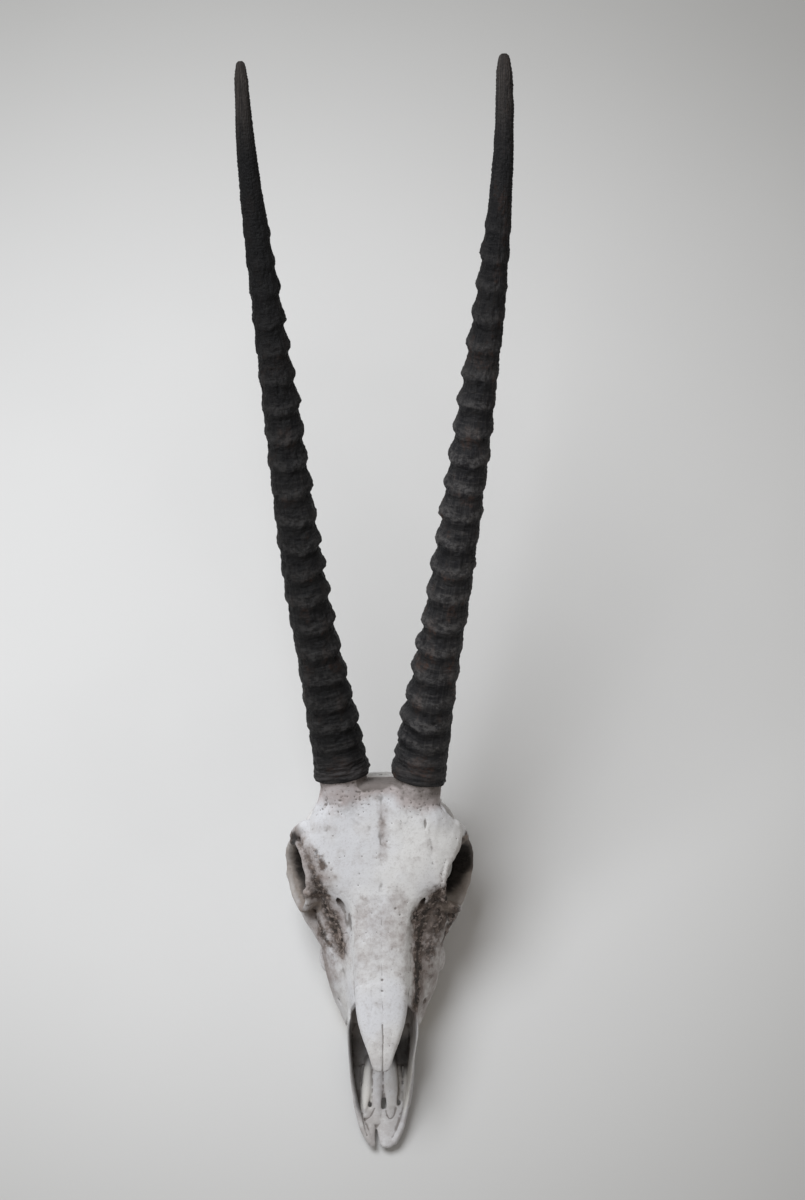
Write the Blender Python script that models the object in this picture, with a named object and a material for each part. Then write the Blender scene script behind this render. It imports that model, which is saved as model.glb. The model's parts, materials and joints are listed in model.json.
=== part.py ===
"""A gemsbok skull with its two horns, resting on its cheek teeth and on the bony prongs behind them.

Lengths are in millimetres until MM turns them into metres. A place on the skull is (x, d, z): x across from
the midline, with the animal's left positive, d back from the snout tip, and z up from the table.
"""

import math

import bmesh
import bpy
from mathutils import Matrix, Vector

MM = 0.001
SIDES = {"left": 1.0, "right": -1.0}

# Driving dimensions
SNOUT_TO_ORIGIN = 404.4  # the origin is under the middle of the whole object
MIDLINE_TO_ORIGIN = 0.8
# The middle of each eye socket's rim and the way it looks; the two sides differ a little
ORBIT_CENTRES = {1.0: Vector((67.0, 227.0, 92.0)), -1.0: Vector((73.5, 227.0, 92.0))}
ORBIT_AXES = {1.0: Vector((1.0, -0.34, 0.27)).normalized(), -1.0: Vector((1.0, -0.25, 0.22)).normalized()}
ORBIT_RADIUS = 29.0
ORBIT_DEPTH = 46.0
ORBIT_BOTTOM_RADIUS = 13.0
EYE_CUP_DEPTH = 40.0
EYE_CUP_RADIUS = 27.0
RIM_THICKNESS = 2.8
BROW_HOLES = {1.0: (38.5, 252.5), -1.0: (44.5, 263.0)}  # how far across and how far back

HORN_BASE = Vector((33.5, 296.0, 150.0))
HORN_RADIUS = 24.5
HORN_BACK_ANGLES = (40.0, 33.0)  # above the table at the base and at the tip, in degrees
# Each horn's length, how far it leans out at six places from base to tip, in degrees, and its number of rings
HORNS = {
    "left": {"length": 643.0, "splay": (8.8, 9.9, 8.2, 7.6, 4.6, -1.0), "rings": 22},
    "right": {"length": 638.0, "splay": (9.4, 10.2, 6.6, 7.2, 6.6, 2.0), "rings": 22},
}
# The share of the horn's length, and the share of the base radius that is left there
HORN_TAPER = ((0.0, 1.0), (0.04, 0.92), (0.1, 0.84), (0.2, 0.75), (0.35, 0.71), (0.5, 0.64), (0.62, 0.56),
              (0.74, 0.48), (0.85, 0.385), (0.94, 0.3), (0.975, 0.26), (0.992, 0.17), (1.0, 0.05))
HORN_SIDES = 12
# The rings' places, for a horn of RING_STEPS_LENGTH: the first, the step, and how the step grows further up
FIRST_RING = 8.0
RING_STEP = 15.0
RING_STEP_GROWTH = 8.5
RING_STEP_DRIFT = 2.5
RING_STEPS_LENGTH = 650.0
# How much wider or thinner the horn is at a ring's crest, just above it and in the valley after it
RING_CREST = 0.055
RING_SHOULDER = 0.02
RING_VALLEY = -0.04
RING_LEAN = 0.35  # how far a ring's front hangs lower than its middle, in radii
TIP_STEPS = 7

PEDICLE_SPLAY = 9.3
CORE_RADII = (17.0, 12.5)
CORE_LENGTH = 55.0
FIT_GAP = 0.4
PEDICLE_RADIUS = 20.5
PEDICLE_FOOT_RADIUS = 22.0
PEDICLE_HEIGHT = 34.0

VOXEL = 1.5
SKULL_TRIANGLES_SHARE = 0.0185

# Colour, roughness and metallic value of each kind of piece
LOOKS = {
    "bone": ((0.62, 0.60, 0.60), 0.75, 0.0),
    "horn": ((0.030, 0.029, 0.032), 0.6, 0.0),
    "tooth": ((0.55, 0.47, 0.34), 0.4, 0.0),
}

# Cheek teeth from the front of the row: name, length along the row, width and distance from the midline
TEETH = (
    ("premolar_2", 13.0, 11.0, 27.0),
    ("premolar_3", 15.0, 14.0, 29.0),
    ("premolar_4", 14.0, 16.0, 31.0),
    ("molar_1", 19.0, 18.5, 33.0),
    ("molar_2", 23.0, 20.0, 33.5),
    ("molar_3", 23.0, 19.0, 32.0),
)

# How far the snout's side walls lean in at the top, and how far in they stand
SNOUT_WALL_LEAN = {1.0: (-0.18, 2.5), -1.0: (0.0, 0.0)}
CHEEK_WIDTHS = {1.0: 0.965, -1.0: 1.015}

# The flat body of the snout and the leaf behind it: x, d, z, half-width and half-height at places along each
SNOUT_BODIES = {
    1.0: ((3.2, 3.5, 8, 6.0, 3.0), (4.6, 14, 8.5, 9.4, 3.3),
          (6.4, 25, 9, 11.6, 3.3), (9.5, 34, 9.5, 10.4, 2.8)),
    -1.0: ((8.8, 3.8, 8, 2.6, 3.0), (10.4, 14, 8.5, 3.8, 3.3),
           (11.6, 25, 9, 5.8, 3.3), (13, 34, 9.5, 6.8, 2.8)),
}
PALATE_LEAVES = {
    1.0: ((8.0, 38, 11.5, 4.6, 2.0), (7.9, 52, 12.8, 6.2, 2.6),
          (7.5, 66, 14.2, 6.0, 2.8), (7.0, 84, 17.0, 5.0, 3.0)),
    -1.0: ((15.0, 35, 11.5, 2.4, 2.0), (14.6, 48, 12.8, 4.2, 2.6),
           (14.6, 62, 14.2, 4.4, 2.8), (15.0, 80, 17.0, 3.8, 3.0)),
}

TOOTH_ROW_START = 113.0
TOOTH_GAP = 0.35
TOOTH_HEIGHT = 25.0
TOOTH_SIDES = 14

END_ROUNDING = ((0.5, 0.8), (0.85, 0.45))  # how far a bar's rounded end goes on, and how wide it is there


def on_side(name, side):
    """The name of a helper on one side."""
    return f"{name}_left" if side > 0 else f"{name}_right"


def place(x, d, z):
    """The point in metres, in the object's own frame, of a place on the skull."""
    return Vector((x + MIDLINE_TO_ORIGIN, d - SNOUT_TO_ORIGIN, z)) * MM


def clear_scene():
    for thing in list(bpy.data.objects):
        bpy.data.objects.remove(thing, do_unlink=True)


def paint(thing, look):
    """Gives the object a material of its own."""
    colour, roughness, metallic = LOOKS[look]
    material = bpy.data.materials.new(f"{thing.name}_{look}")
    material.use_nodes = True
    shader = material.node_tree.nodes["Principled BSDF"]
    shader.inputs["Base Color"].default_value = (*colour, 1.0)
    shader.inputs["Roughness"].default_value = roughness
    shader.inputs["Metallic"].default_value = metallic
    thing.data.materials.clear()
    thing.data.materials.append(material)


def settle(thing, origin, parent, look):
    """Moves the object's own origin to a point, without moving its shape, and finishes it."""
    thing.data.transform(Matrix.Translation(-origin))
    thing.location = origin
    thing.parent = parent
    thing.data.shade_smooth()
    thing.data.set_sharp_from_angle(angle=math.radians(50))
    paint(thing, look)


def new_collection(name):
    made = bpy.data.collections.new(name)
    bpy.context.scene.collection.children.link(made)
    return made


def mesh_object(name, mesh, collection, helper=False):
    """An object from a bmesh, with its faces pointing out. A helper is a form that is joined or cut away."""
    bmesh.ops.recalc_face_normals(mesh, faces=mesh.faces)
    if mesh.calc_volume(signed=True) < 0:
        bmesh.ops.reverse_faces(mesh, faces=mesh.faces)
    data = bpy.data.meshes.new(name)
    mesh.to_mesh(data)
    mesh.free()
    made = bpy.data.objects.new(name, data)
    collection.objects.link(made)
    if helper:
        made.hide_render = True
        made.display_type = "WIRE"
    return made


def blend_points(p0, p1, p2, p3, t):
    """A Catmull-Rom point between p1 and p2."""
    return [
        0.5 * (2 * b + (c - a) * t + (2 * a - 5 * b + 4 * c - d) * t**2 + (3 * b - a - 3 * c + d) * t**3)
        for a, b, c, d in zip(p0, p1, p2, p3)
    ]


def smooth_path(points, steps, closed=False):
    """Points read from a smooth curve through the given ones, each a list of numbers."""
    count = len(points)
    spans = count if closed else count - 1
    pick = (lambda i: points[i % count]) if closed else (lambda i: points[min(max(i, 0), count - 1)])
    made = []
    for span in range(spans):
        corners = [pick(span + offset) for offset in (-1, 0, 1, 2)]
        made += [blend_points(*corners, step / steps) for step in range(steps)]
    return made if closed else made + [list(points[-1])]


def loft(name, rings, collection, helper=True, closed=False):
    """A solid through rings of points, with a fan over each end unless the last ring meets the first."""
    mesh = bmesh.new()
    loops = [[mesh.verts.new(point) for point in ring] for ring in rings]
    count = len(rings[0])
    pairs = list(zip(loops, loops[1:]))
    if closed:
        pairs.append((loops[-1], loops[0]))
    for first, second in pairs:
        for i in range(count):
            j = (i + 1) % count
            mesh.faces.new((first[i], first[j], second[j], second[i]))
    for end in [] if closed else [loops[0], loops[-1]]:
        middle = mesh.verts.new(sum((v.co for v in end), Vector()) / count)
        for i in range(count):
            mesh.faces.new((end[i], end[(i + 1) % count], middle))
    return mesh_object(name, mesh, collection, helper)


def section_loft(name, sections, collection, steps=3, helper=True):
    """A loft along the skull. Each section is d and its right half's outline, from the top to the bottom."""
    rows = []
    for d, half in sections:
        outline = list(half) + [(-x, z) for x, z in reversed(half[1:-1])]
        rows.append([d] + [value for point in outline for value in point])
    rings = []
    for row in smooth_path(rows, steps):
        d, flat = row[0], row[1:]
        outline = [flat[i : i + 2] for i in range(0, len(flat), 2)]
        rings.append([place(x, d, z) for x, z in smooth_path(outline, 2, closed=True)])
    return loft(name, rings, collection, helper)


def tube(name, path, collection, side=1.0, sides=14, steps=3, up=Vector((0, 0, 1))):
    """A rounded bar. Each point of the path is x, d, z and its half-thickness sideways and upwards."""
    rows = smooth_path([list(point) for point in path], steps)
    centres = [Vector(row[:3]) for row in rows]
    rings = []
    for index, (centre, row) in enumerate(zip(centres, rows)):
        before, after = centres[max(index - 1, 0)], centres[min(index + 1, len(centres) - 1)]
        along = (after - before).normalized()
        across = along.cross(up).normalized()
        over = across.cross(along)
        wide, high = row[3], row[4]
        shapes = [(0.0, 1.0)]
        if index == 0:
            shapes = [(-shift, scale) for shift, scale in reversed(END_ROUNDING)] + shapes
        if index == len(centres) - 1:
            shapes = shapes + list(END_ROUNDING)
        for shift, scale in shapes:
            middle = centre + along * shift * min(wide, high)
            ring = []
            for step in range(sides):
                angle = math.tau * step / sides
                point = middle + across * wide * scale * math.cos(angle)
                point += over * high * scale * math.sin(angle)
                ring.append(place(point.x * side, point.y, point.z))
            rings.append(ring)
    return loft(name, rings, collection)


def cone(name, start, end, radii, collection, side=1.0, sides=24):
    """A straight round bar from start to end, with flat ends."""
    start, end = Vector(start), Vector(end)
    along = (end - start).normalized()
    across = along.cross(Vector((0, 0, 1))).normalized()
    over = across.cross(along)
    rings = []
    for centre, radius in zip((start, end), radii):
        ring = []
        for step in range(sides):
            angle = math.tau * step / sides
            point = centre + across * radius * math.cos(angle) + over * radius * math.sin(angle)
            ring.append(place(point.x * side, point.y, point.z))
        rings.append(ring)
    return loft(name, rings, collection)


def ellipsoid(name, centre, radii, collection, side=1.0, lean=0.0):
    """An egg shape whose long axes may lean back in the plane of the midline, by degrees."""
    mesh = bmesh.new()
    bmesh.ops.create_uvsphere(mesh, u_segments=20, v_segments=12, radius=1.0)
    turn = math.radians(lean)
    for vertex in mesh.verts:
        x, d, z = (vertex.co[i] * radii[i] for i in range(3))
        d, z = d * math.cos(turn) - z * math.sin(turn), d * math.sin(turn) + z * math.cos(turn)
        vertex.co = place((x + centre[0]) * side, d + centre[1], z + centre[2])
    return mesh_object(name, mesh, collection, helper=True)


# The outer form of the face and the braincase: at each distance from the snout tip, the right half's outline
FACE_SECTIONS = (
    (111, ((0, 92), (10, 91.5), (18, 89), (23.5, 81), (26.5, 69), (29.5, 50),
          (32.5, 34), (32.5, 18), (20, 13.5), (12, 16), (0, 18))),
    (125, ((0, 96), (11, 95.5), (19.5, 92), (25, 83), (30.5, 68), (36.5, 50),
          (38.5, 30), (36.5, 14.5), (20, 14), (13, 21), (0, 23))),
    (145, ((0, 102), (12, 101.5), (21, 97.5), (26, 88), (34, 73), (46, 56),
          (48, 34), (43, 14.5), (20, 14.5), (13, 22), (0, 25))),
    (165, ((0, 108.5), (13, 108), (22.5, 103.5), (27, 93.5), (36, 81), (51, 64),
          (52, 38), (46, 14.5), (20, 14.5), (13, 23), (0, 26.5))),
    (185, ((0, 115), (15, 114.5), (26, 109.5), (30.5, 100), (42, 90), (56, 75),
          (54, 40), (47, 14.5), (20, 14.5), (13, 23), (0, 27))),
    (200, ((0, 121), (19, 120.5), (35, 117), (45, 109), (52, 98), (59, 82),
          (52, 42), (46, 14.5), (20, 14.5), (13, 24), (0, 28))),
    (210, ((0, 125.5), (22, 125), (41, 122), (56, 116), (59, 104), (58, 84),
          (48, 46), (45, 14), (19, 14), (12, 25), (0, 29))),
    (222, ((0, 130.5), (23, 130.5), (44, 127.5), (61, 120), (62, 108), (54, 84),
          (44, 50), (43, 15.5), (19, 15), (12, 27), (0, 32))),
    (233, ((0, 135.5), (23, 135.5), (46, 132.5), (65, 123.5), (64, 110), (46, 88),
          (33, 60), (25, 44), (18, 38), (11, 40), (0, 44))),
    (247, ((0, 141.5), (23, 142), (48, 139), (69, 126), (67, 112), (44, 92),
          (33, 74), (27, 60), (19, 50), (11, 48), (0, 50))),
    (261, ((0, 148), (23, 148.5), (49, 146), (70, 123), (64, 111), (44, 96),
          (38, 78), (30, 62), (20, 54), (10, 52), (0, 53))),
    (274, ((0, 154), (21, 155.5), (42, 151), (54, 130), (50, 112), (46, 94),
          (42, 76), (32, 60), (20, 52), (10, 49), (0, 50))),
    (286, ((0, 159), (18, 159.5), (34, 149), (46, 128), (48, 108), (47, 90),
          (42, 72), (32, 56), (20, 47), (10, 45), (0, 46))),
    (298, ((0, 142), (16, 142), (30, 135), (42, 118), (46, 102), (45, 84),
          (40, 66), (30, 50), (18, 42), (9, 41), (0, 41))),
    (309, ((0, 121), (14, 120), (26, 115), (37, 105), (42, 94), (41, 78),
          (36, 62), (28, 48), (17, 40), (9, 38), (0, 38))),
    (317, ((0, 105), (12, 104), (22, 100), (32, 92), (36, 84), (35, 72),
          (30, 58), (24, 46), (16, 40), (8, 39), (0, 39))),
    (325, ((0, 93), (9, 92), (18, 88), (26, 82), (29, 72), (28, 62),
          (24, 52), (19, 44), (13, 40), (7, 40), (0, 41))),
)

# The hollow of the nose, open at the front
NOSE_SECTIONS = (
    (84, ((0, 80), (10, 79), (16, 76), (20, 70), (23, 60), (24.5, 48),
          (25.5, 34), (22, 22), (16, 21), (8, 21), (0, 21))),
    (104, ((0, 86), (10, 85), (16, 82), (20, 76), (23, 64), (25.5, 48),
          (26.5, 36), (24, 26), (16, 23), (8, 23), (0, 23))),
    (125, ((0, 92), (10, 91), (17, 87), (21, 80), (26, 66), (31, 52),
          (32, 42), (26, 34), (16, 29), (8, 28), (0, 28))),
    (150, ((0, 99.5), (11, 99), (18, 95), (23, 86), (30, 70), (39, 57),
          (41, 46), (32, 38), (18, 33), (8, 31), (0, 31))),
    (175, ((0, 105), (10, 104), (18, 99), (23, 90), (31, 76), (40, 64),
          (42, 52), (32, 42), (18, 36), (8, 34), (0, 34))),
    (192, ((0, 96), (6, 95), (10, 92), (14, 86), (18, 78), (20, 68),
          (19, 58), (16, 50), (11, 44), (6, 41), (0, 40))),
)


def nasal_bones(forms):
    """The roof of the nose, which runs free in front as two points."""
    rows = ((50.5, 7.0, 76.5, 3.0), (55, 9.0, 78.5, 4.0), (61, 10.8, 80.8, 5.0), (67, 12.6, 82.4, 6.0),
            (78, 16.5, 85.0, 8.0), (90, 20.0, 87.8, 9.5), (104, 22.6, 90.8, 11.0), (122, 24.0, 95.5, 12.0))
    sections = []
    for d, half_width, top, drop in rows:
        under = top - 4.0
        half = ((0, top), (half_width * 0.5, top - 0.6), (half_width * 0.85, top - drop * 0.3),
                (half_width, top - drop * 0.75), (half_width - 0.6, top - drop - 1.0),
                (half_width - 2.8, top - drop), (half_width * 0.7, under - drop * 0.25),
                (half_width * 0.35, under), (0, under))
        sections.append((d, half))
    section_loft("nasal_bones", sections, forms)


def premaxilla(side, forms):
    """The bone of the snout: a flat body, a rising side wall and the bar beside the midline."""
    wall = ((6, 10.5, 9, 3.0, 3.5), (18, 17, 10.5, 3.0, 4.5), (36, 22.5, 14, 2.4, 7.0),
            (56, 26.2, 20, 2.2, 10.0), (76, 28.3, 28, 2.2, 14.0), (95, 29.2, 39, 2.3, 21.0),
            (110, 29, 45, 2.6, 26.0), (126, 30, 50, 3.0, 31.0))
    lean, inwards = SNOUT_WALL_LEAN[side]
    path = [(x - inwards * max(0.0, min(1.0, d / 50, (108 - d) / 30)), d, z, wide, high)
            for d, x, z, wide, high in wall]
    tube(on_side("snout_wall", side), path, forms, side, up=Vector((-lean, 0, 1)))
    tube(on_side("snout_body", side), SNOUT_BODIES[side], forms, side)
    tube(on_side("palate_leaf", side), PALATE_LEAVES[side], forms, side)
    shelf = ((15.5, 28, 9.5, 5.5, 2.6), (21.0, 44, 9.0, 4.6, 2.4), (23.2, 62, 10.5, 4.6, 2.6),
             (23.5, 80, 13, 5.4, 3.0), (22.5, 98, 17.5, 8.0, 4.3), (23.5, 116, 21, 9.5, 5.5))
    tube(on_side("snout_shelf", side), shelf, forms, side)
    if side < 0:
        bar = ((6.5, 24, 9.5, 5.0, 2.6), (5.6, 40, 10.5, 4.0, 2.6), (4.9, 60, 12.5, 3.6, 2.8),
               (4.6, 80, 15, 3.6, 3.0), (4.6, 108, 20, 4.0, 4.0))
        tube("palatine_bar", bar, forms, side)
    floor = ((20, 78, 14.5, 8.0, 2.6), (19, 94, 15.5, 11.0, 3.0), (17, 112, 17, 13.0, 4.0))
    tube(on_side("snout_floor", side), floor, forms, side)


def orbit(side, forms):
    """The cup and raised rim of the eye socket."""
    centre, axis = ORBIT_CENTRES[side], ORBIT_AXES[side]
    inner = centre - axis * EYE_CUP_DEPTH
    outer = centre + axis * RIM_THICKNESS / 2
    cone(on_side("eye_cup", side), inner, outer, (EYE_CUP_RADIUS, ORBIT_RADIUS + 4.5), forms, side, sides=32)
    across = axis.cross(Vector((0, 0, 1))).normalized()
    over = across.cross(axis)
    rings = []
    for step in range(32):
        angle = math.tau * step / 32
        out = across * math.cos(angle) + over * math.sin(angle)
        ring = []
        for turn in range(10):
            lean = math.tau * turn / 10
            swell = RIM_THICKNESS * math.cos(lean)
            point = centre + out * (ORBIT_RADIUS + 1.8 + swell) + axis * RIM_THICKNESS * math.sin(lean)
            ring.append(place(point.x * side, point.y, point.z))
        rings.append(ring)
    loft(on_side("eye_rim", side), rings, forms, closed=True)


def widened(path, side):
    """The path moved out or in, as this side's cheek is."""
    return [(x * CHEEK_WIDTHS[side], *rest) for x, *rest in path]


def cheek(side, forms):
    """The cheek bone under the eye and the arch that runs back to the ear."""
    arch = ((40, 160, 56, 8, 9), (50, 182, 60, 8, 10), (62, 204, 60, 9, 9), (71, 224, 58.5, 7.5, 7),
            (75, 244, 60, 5, 8.5), (72.5, 262, 67, 4, 8.5), (67, 278, 73, 4, 6.5), (57, 292, 77, 6, 5.5),
            (42, 300, 78, 8, 7))
    tube(on_side("cheek_arch", side), widened(arch, side), forms, side)
    bar = ((73, 256, 70, 4.5, 7), (77, 258, 88, 4, 6.5), (75.5, 259, 106, 4.4, 7), (66, 260, 124, 7, 7))
    tube(on_side("behind_eye", side), widened(bar, side), forms, side, up=Vector((0, 1, 0)))


def pedicle_axis():
    splay = math.radians(PEDICLE_SPLAY)
    back = math.radians(HORN_BACK_ANGLES[0])
    return Vector((math.sin(splay), math.cos(splay) * math.cos(back), math.cos(splay) * math.sin(back)))


def horn_seat(side, forms):
    """The bone that rises from the forehead under each horn."""
    axis = pedicle_axis()
    start, end = HORN_BASE - axis * PEDICLE_HEIGHT, HORN_BASE + axis * 4
    cone(on_side("pedicle", side), start, end, (PEDICLE_FOOT_RADIUS, PEDICLE_RADIUS), forms, side)


def skull_base(side, forms):
    """What is under and behind the braincase: the wings of the palate, ear bulbs, prongs and neck joint."""
    wing = ((15, 208, 34, 3.0, 14), (14.5, 228, 39, 2.4, 15), (14, 246, 44, 2.2, 14),
            (13.5, 262, 46, 2.4, 15))
    tube(on_side("palate_wing", side), wing, forms, side)
    ellipsoid(on_side("ear_bulb", side), (26, 297, 43), (10, 15, 14), forms, side, lean=20)
    ear = ((30, 300, 58, 7, 7), (42, 303, 64, 6.5, 6.5), (50, 305, 67, 5.5, 5.5))
    tube(on_side("ear", side), ear, forms, side)
    prong = ((37, 307, 78, 9, 12), (40, 314, 58, 6.5, 12), (40.5, 320, 36, 5, 9.5), (39.5, 324, 14, 4.2, 7),
             (38.5, 325.5, -6, 3.9, 5.6))
    tube(on_side("neck_prong", side), prong, forms, side, up=Vector((0, 1, 0)))
    joint = ((6, 320, 38, 6, 7), (13.5, 328, 42, 8, 9), (20, 331, 53, 8.5, 9.5), (19.5, 325, 66, 6.5, 7.5))
    tube(on_side("neck_joint", side), joint, forms, side, up=Vector((0, 1, 0)))
    crest = ((0, 315.5, 107.5, 3, 3), (14, 314.5, 106, 3, 3), (28, 313, 96, 3, 3), (38, 311, 83, 3.5, 3.5),
             (41, 310, 70, 4, 4))
    tube(on_side("nape_crest", side), crest, forms, side, up=Vector((0, 1, 0)))


def hollows(side, cutters):
    """What is open on one side of the skull."""
    centre, axis = ORBIT_CENTRES[side], ORBIT_AXES[side]
    bottom, front = centre - axis * ORBIT_DEPTH, centre + axis * 12
    radii = (ORBIT_BOTTOM_RADIUS, ORBIT_RADIUS + 2.0)
    cone(on_side("eye_hollow", side), bottom, front, radii, cutters, side, sides=32)
    ellipsoid(on_side("temple_gap", side), (55, 264, 90), (12.5, 20, 23), cutters, side)
    ellipsoid(on_side("under_eye_gap", side), (50, 246, 68), (13, 17, 20), cutters, side)
    ellipsoid(on_side("tear_gap", side), (31.5, 178, 101), (3.2, 16, 9), cutters, side, lean=18)
    tube(on_side("cheek_hole", side), ((30, 132, 44, 3, 3), (48, 118, 40, 3.4, 3.4)), cutters, side)
    across, back = BROW_HOLES[side]
    brow = ((across, back, 148, 2.2, 3.0), (across + 1, back + 10, 139, 2.2, 2.6))
    tube(on_side("brow_hole", side), brow, cutters, side)
    tube(on_side("ear_hole", side), ((36, 302, 61, 2.6, 2.6), (60, 306, 70, 3.4, 3.4)), cutters, side)


def middle_hollows(cutters):
    section_loft("nose_hollow", NOSE_SECTIONS, cutters)
    throat = ((0, 182, 50, 9, 9), (0, 205, 45, 9, 8), (0, 228, 42, 10.5, 9), (0, 250, 38, 10.5, 10),
              (0, 275, 30, 10.5, 10))
    tube("throat", throat, cutters)
    ellipsoid("brain_hollow", (0, 288, 88), (33, 31, 31), cutters, lean=-30)
    tube("neck_hole", ((0, 300, 74, 13, 12), (0, 322, 64, 13, 12), (0, 348, 54, 14, 13)), cutters)


def bake(thing):
    """Keeps what the modifiers make of the object, without specks smaller than the main body."""
    graph = bpy.context.evaluated_depsgraph_get()
    baked = bpy.data.meshes.new_from_object(thing.evaluated_get(graph), depsgraph=graph)
    mesh = bmesh.new()
    mesh.from_mesh(baked)
    bodies = []
    left = set(mesh.verts)
    while left:
        body, edge = set(), [left.pop()]
        while edge:
            vertex = edge.pop()
            body.add(vertex)
            near = {e.other_vert(vertex) for e in vertex.link_edges} & left
            left -= near
            edge += near
        bodies.append(body)
    largest = max(bodies, key=len)
    bmesh.ops.delete(mesh, geom=[v for body in bodies if body is not largest for v in body], context="VERTS")
    mesh.to_mesh(baked)
    mesh.free()
    thing.modifiers.clear()
    thing.data = baked


def skull():
    """The skull as one bone."""
    forms, cutters = new_collection("bone_forms"), new_collection("bone_hollows")
    finish, cores = new_collection("bone_seats"), new_collection("horn_cores")
    body = section_loft("skull", FACE_SECTIONS, bpy.context.scene.collection, helper=False)
    nasal_bones(forms)
    middle_hollows(cutters)
    for side in SIDES.values():
        premaxilla(side, forms)
        orbit(side, forms)
        cheek(side, forms)
        horn_seat(side, forms)
        skull_base(side, forms)
        hollows(side, cutters)
        horn_core(side, finish, cores)
        tooth_sockets(side, finish)
    corners = ((-120, -20), (120, -20), (120, 380), (-120, 380))
    loft("table_cut", [[place(x, d, z) for x, d in corners] for z in (-40.0, 0.0)], finish)
    join = body.modifiers.new("join_forms", "BOOLEAN")
    join.operation, join.operand_type, join.collection = "UNION", "COLLECTION", forms
    cut = body.modifiers.new("cut_hollows", "BOOLEAN")
    cut.operation, cut.operand_type, cut.collection = "DIFFERENCE", "COLLECTION", cutters
    remesh = body.modifiers.new("even_surface", "REMESH")
    remesh.mode, remesh.voxel_size = "VOXEL", VOXEL * MM
    smooth = body.modifiers.new("soften", "SMOOTH")
    smooth.factor, smooth.iterations = 0.5, 8
    fewer = body.modifiers.new("fewer_faces", "DECIMATE")
    fewer.ratio = SKULL_TRIANGLES_SHARE
    bake(body)
    seats = body.modifiers.new("cut_seats", "BOOLEAN")
    seats.operation, seats.operand_type, seats.collection = "DIFFERENCE", "COLLECTION", finish
    core = body.modifiers.new("add_cores", "BOOLEAN")
    core.operation, core.operand_type, core.collection = "UNION", "COLLECTION", cores
    return body


def horn_core(side, finish, cores):
    """The flat seat of the horn and the bony stub that the horn slides over."""
    axis = pedicle_axis()
    cone(on_side("horn_space", side), HORN_BASE - axis * 0.3, HORN_BASE + axis * 60, (40, 40), finish, side)
    cone(on_side("core", side), HORN_BASE - axis * 6, HORN_BASE + axis * CORE_LENGTH, CORE_RADII, cores, side)


def row_places():
    """Each tooth of one side: its name, the middle of its length, its length, width and middle across."""
    start = TOOTH_ROW_START
    for name, length, width, across in TEETH:
        yield name, start + length / 2, length - TOOTH_GAP, width, across
        start += length


def tooth_sockets(side, finish):
    """The trough that holds one row of teeth."""
    places = list(row_places())
    outer = [(across + width / 2 + FIT_GAP, middle) for _, middle, _, width, across in places]
    inner = [(across - width / 2 - FIT_GAP, middle) for _, middle, _, width, across in places]
    first, last = TOOTH_ROW_START - FIT_GAP, TOOTH_ROW_START + sum(t[1] for t in TEETH) + FIT_GAP
    outline = [(inner[0][0], first), (outer[0][0], first)] + outer[:]
    outline += [(outer[-1][0], last), (inner[-1][0], last)] + inner[::-1]
    rings = [[place(x * side, d, z) for x, d in outline] for z in (-5.0, TOOTH_HEIGHT + FIT_GAP)]
    loft(on_side("tooth_trough", side), rings, finish)


def tooth(name, middle, length, width, across, side):
    """One cheek tooth, its worn face on the table. Molars have two lobes, premolars one."""
    lobes = 2 if name.startswith("molar") else 1
    outline = []
    for step in range(TOOTH_SIDES):
        angle = math.tau * step / TOOTH_SIDES
        x = math.cos(angle)
        d = math.sin(angle)
        square = max(abs(x), abs(d)) ** 0.75
        waist = 1 - 0.12 * math.exp(-((d / 0.22) ** 2)) if lobes == 2 else 1.0
        outline.append((x / square * waist * width / 2, d / square * length / 2))
    rings = []
    for z, scale in ((0.0, 0.94), (6.0, 0.99), (TOOTH_HEIGHT, 0.9)):
        rings.append([place((across + x * scale) * side, middle + d * scale, z) for x, d in outline])
    return loft(name, rings, bpy.context.scene.collection, helper=False)


def horn_line(length, splay):
    """Points 1 mm apart along the middle of a horn, and the way it runs at each."""
    point = HORN_BASE.copy()
    line = []
    count = int(length)
    leans = smooth_path([[value] for value in splay], 50)
    for step in range(count + 1):
        share = step / count
        out = math.radians(leans[round(share * (len(leans) - 1))][0])
        back = math.radians(HORN_BACK_ANGLES[0] + (HORN_BACK_ANGLES[1] - HORN_BACK_ANGLES[0]) * share)
        along = Vector((math.sin(out), math.cos(out) * math.cos(back), math.cos(out) * math.sin(back)))
        line.append((point.copy(), along))
        point += along * (length / count)
    return line


def taper(share):
    """The horn's radius, as a share of its base radius, at a share of its length."""
    for (a, first), (b, second) in zip(HORN_TAPER, HORN_TAPER[1:]):
        if share <= b:
            return first + (second - first) * (share - a) / (b - a)
    return HORN_TAPER[-1][1]


def ring_crests(length, rings):
    """How far up the horn each ring stands: close together at the base, and wider apart above."""
    crests = []
    along = FIRST_RING
    for index in range(rings):
        crests.append(along)
        along += RING_STEP + RING_STEP_GROWTH * min(1.0, index / 5) + RING_STEP_DRIFT * index / rings
    return [crest * length / RING_STEPS_LENGTH for crest in crests]


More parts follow.
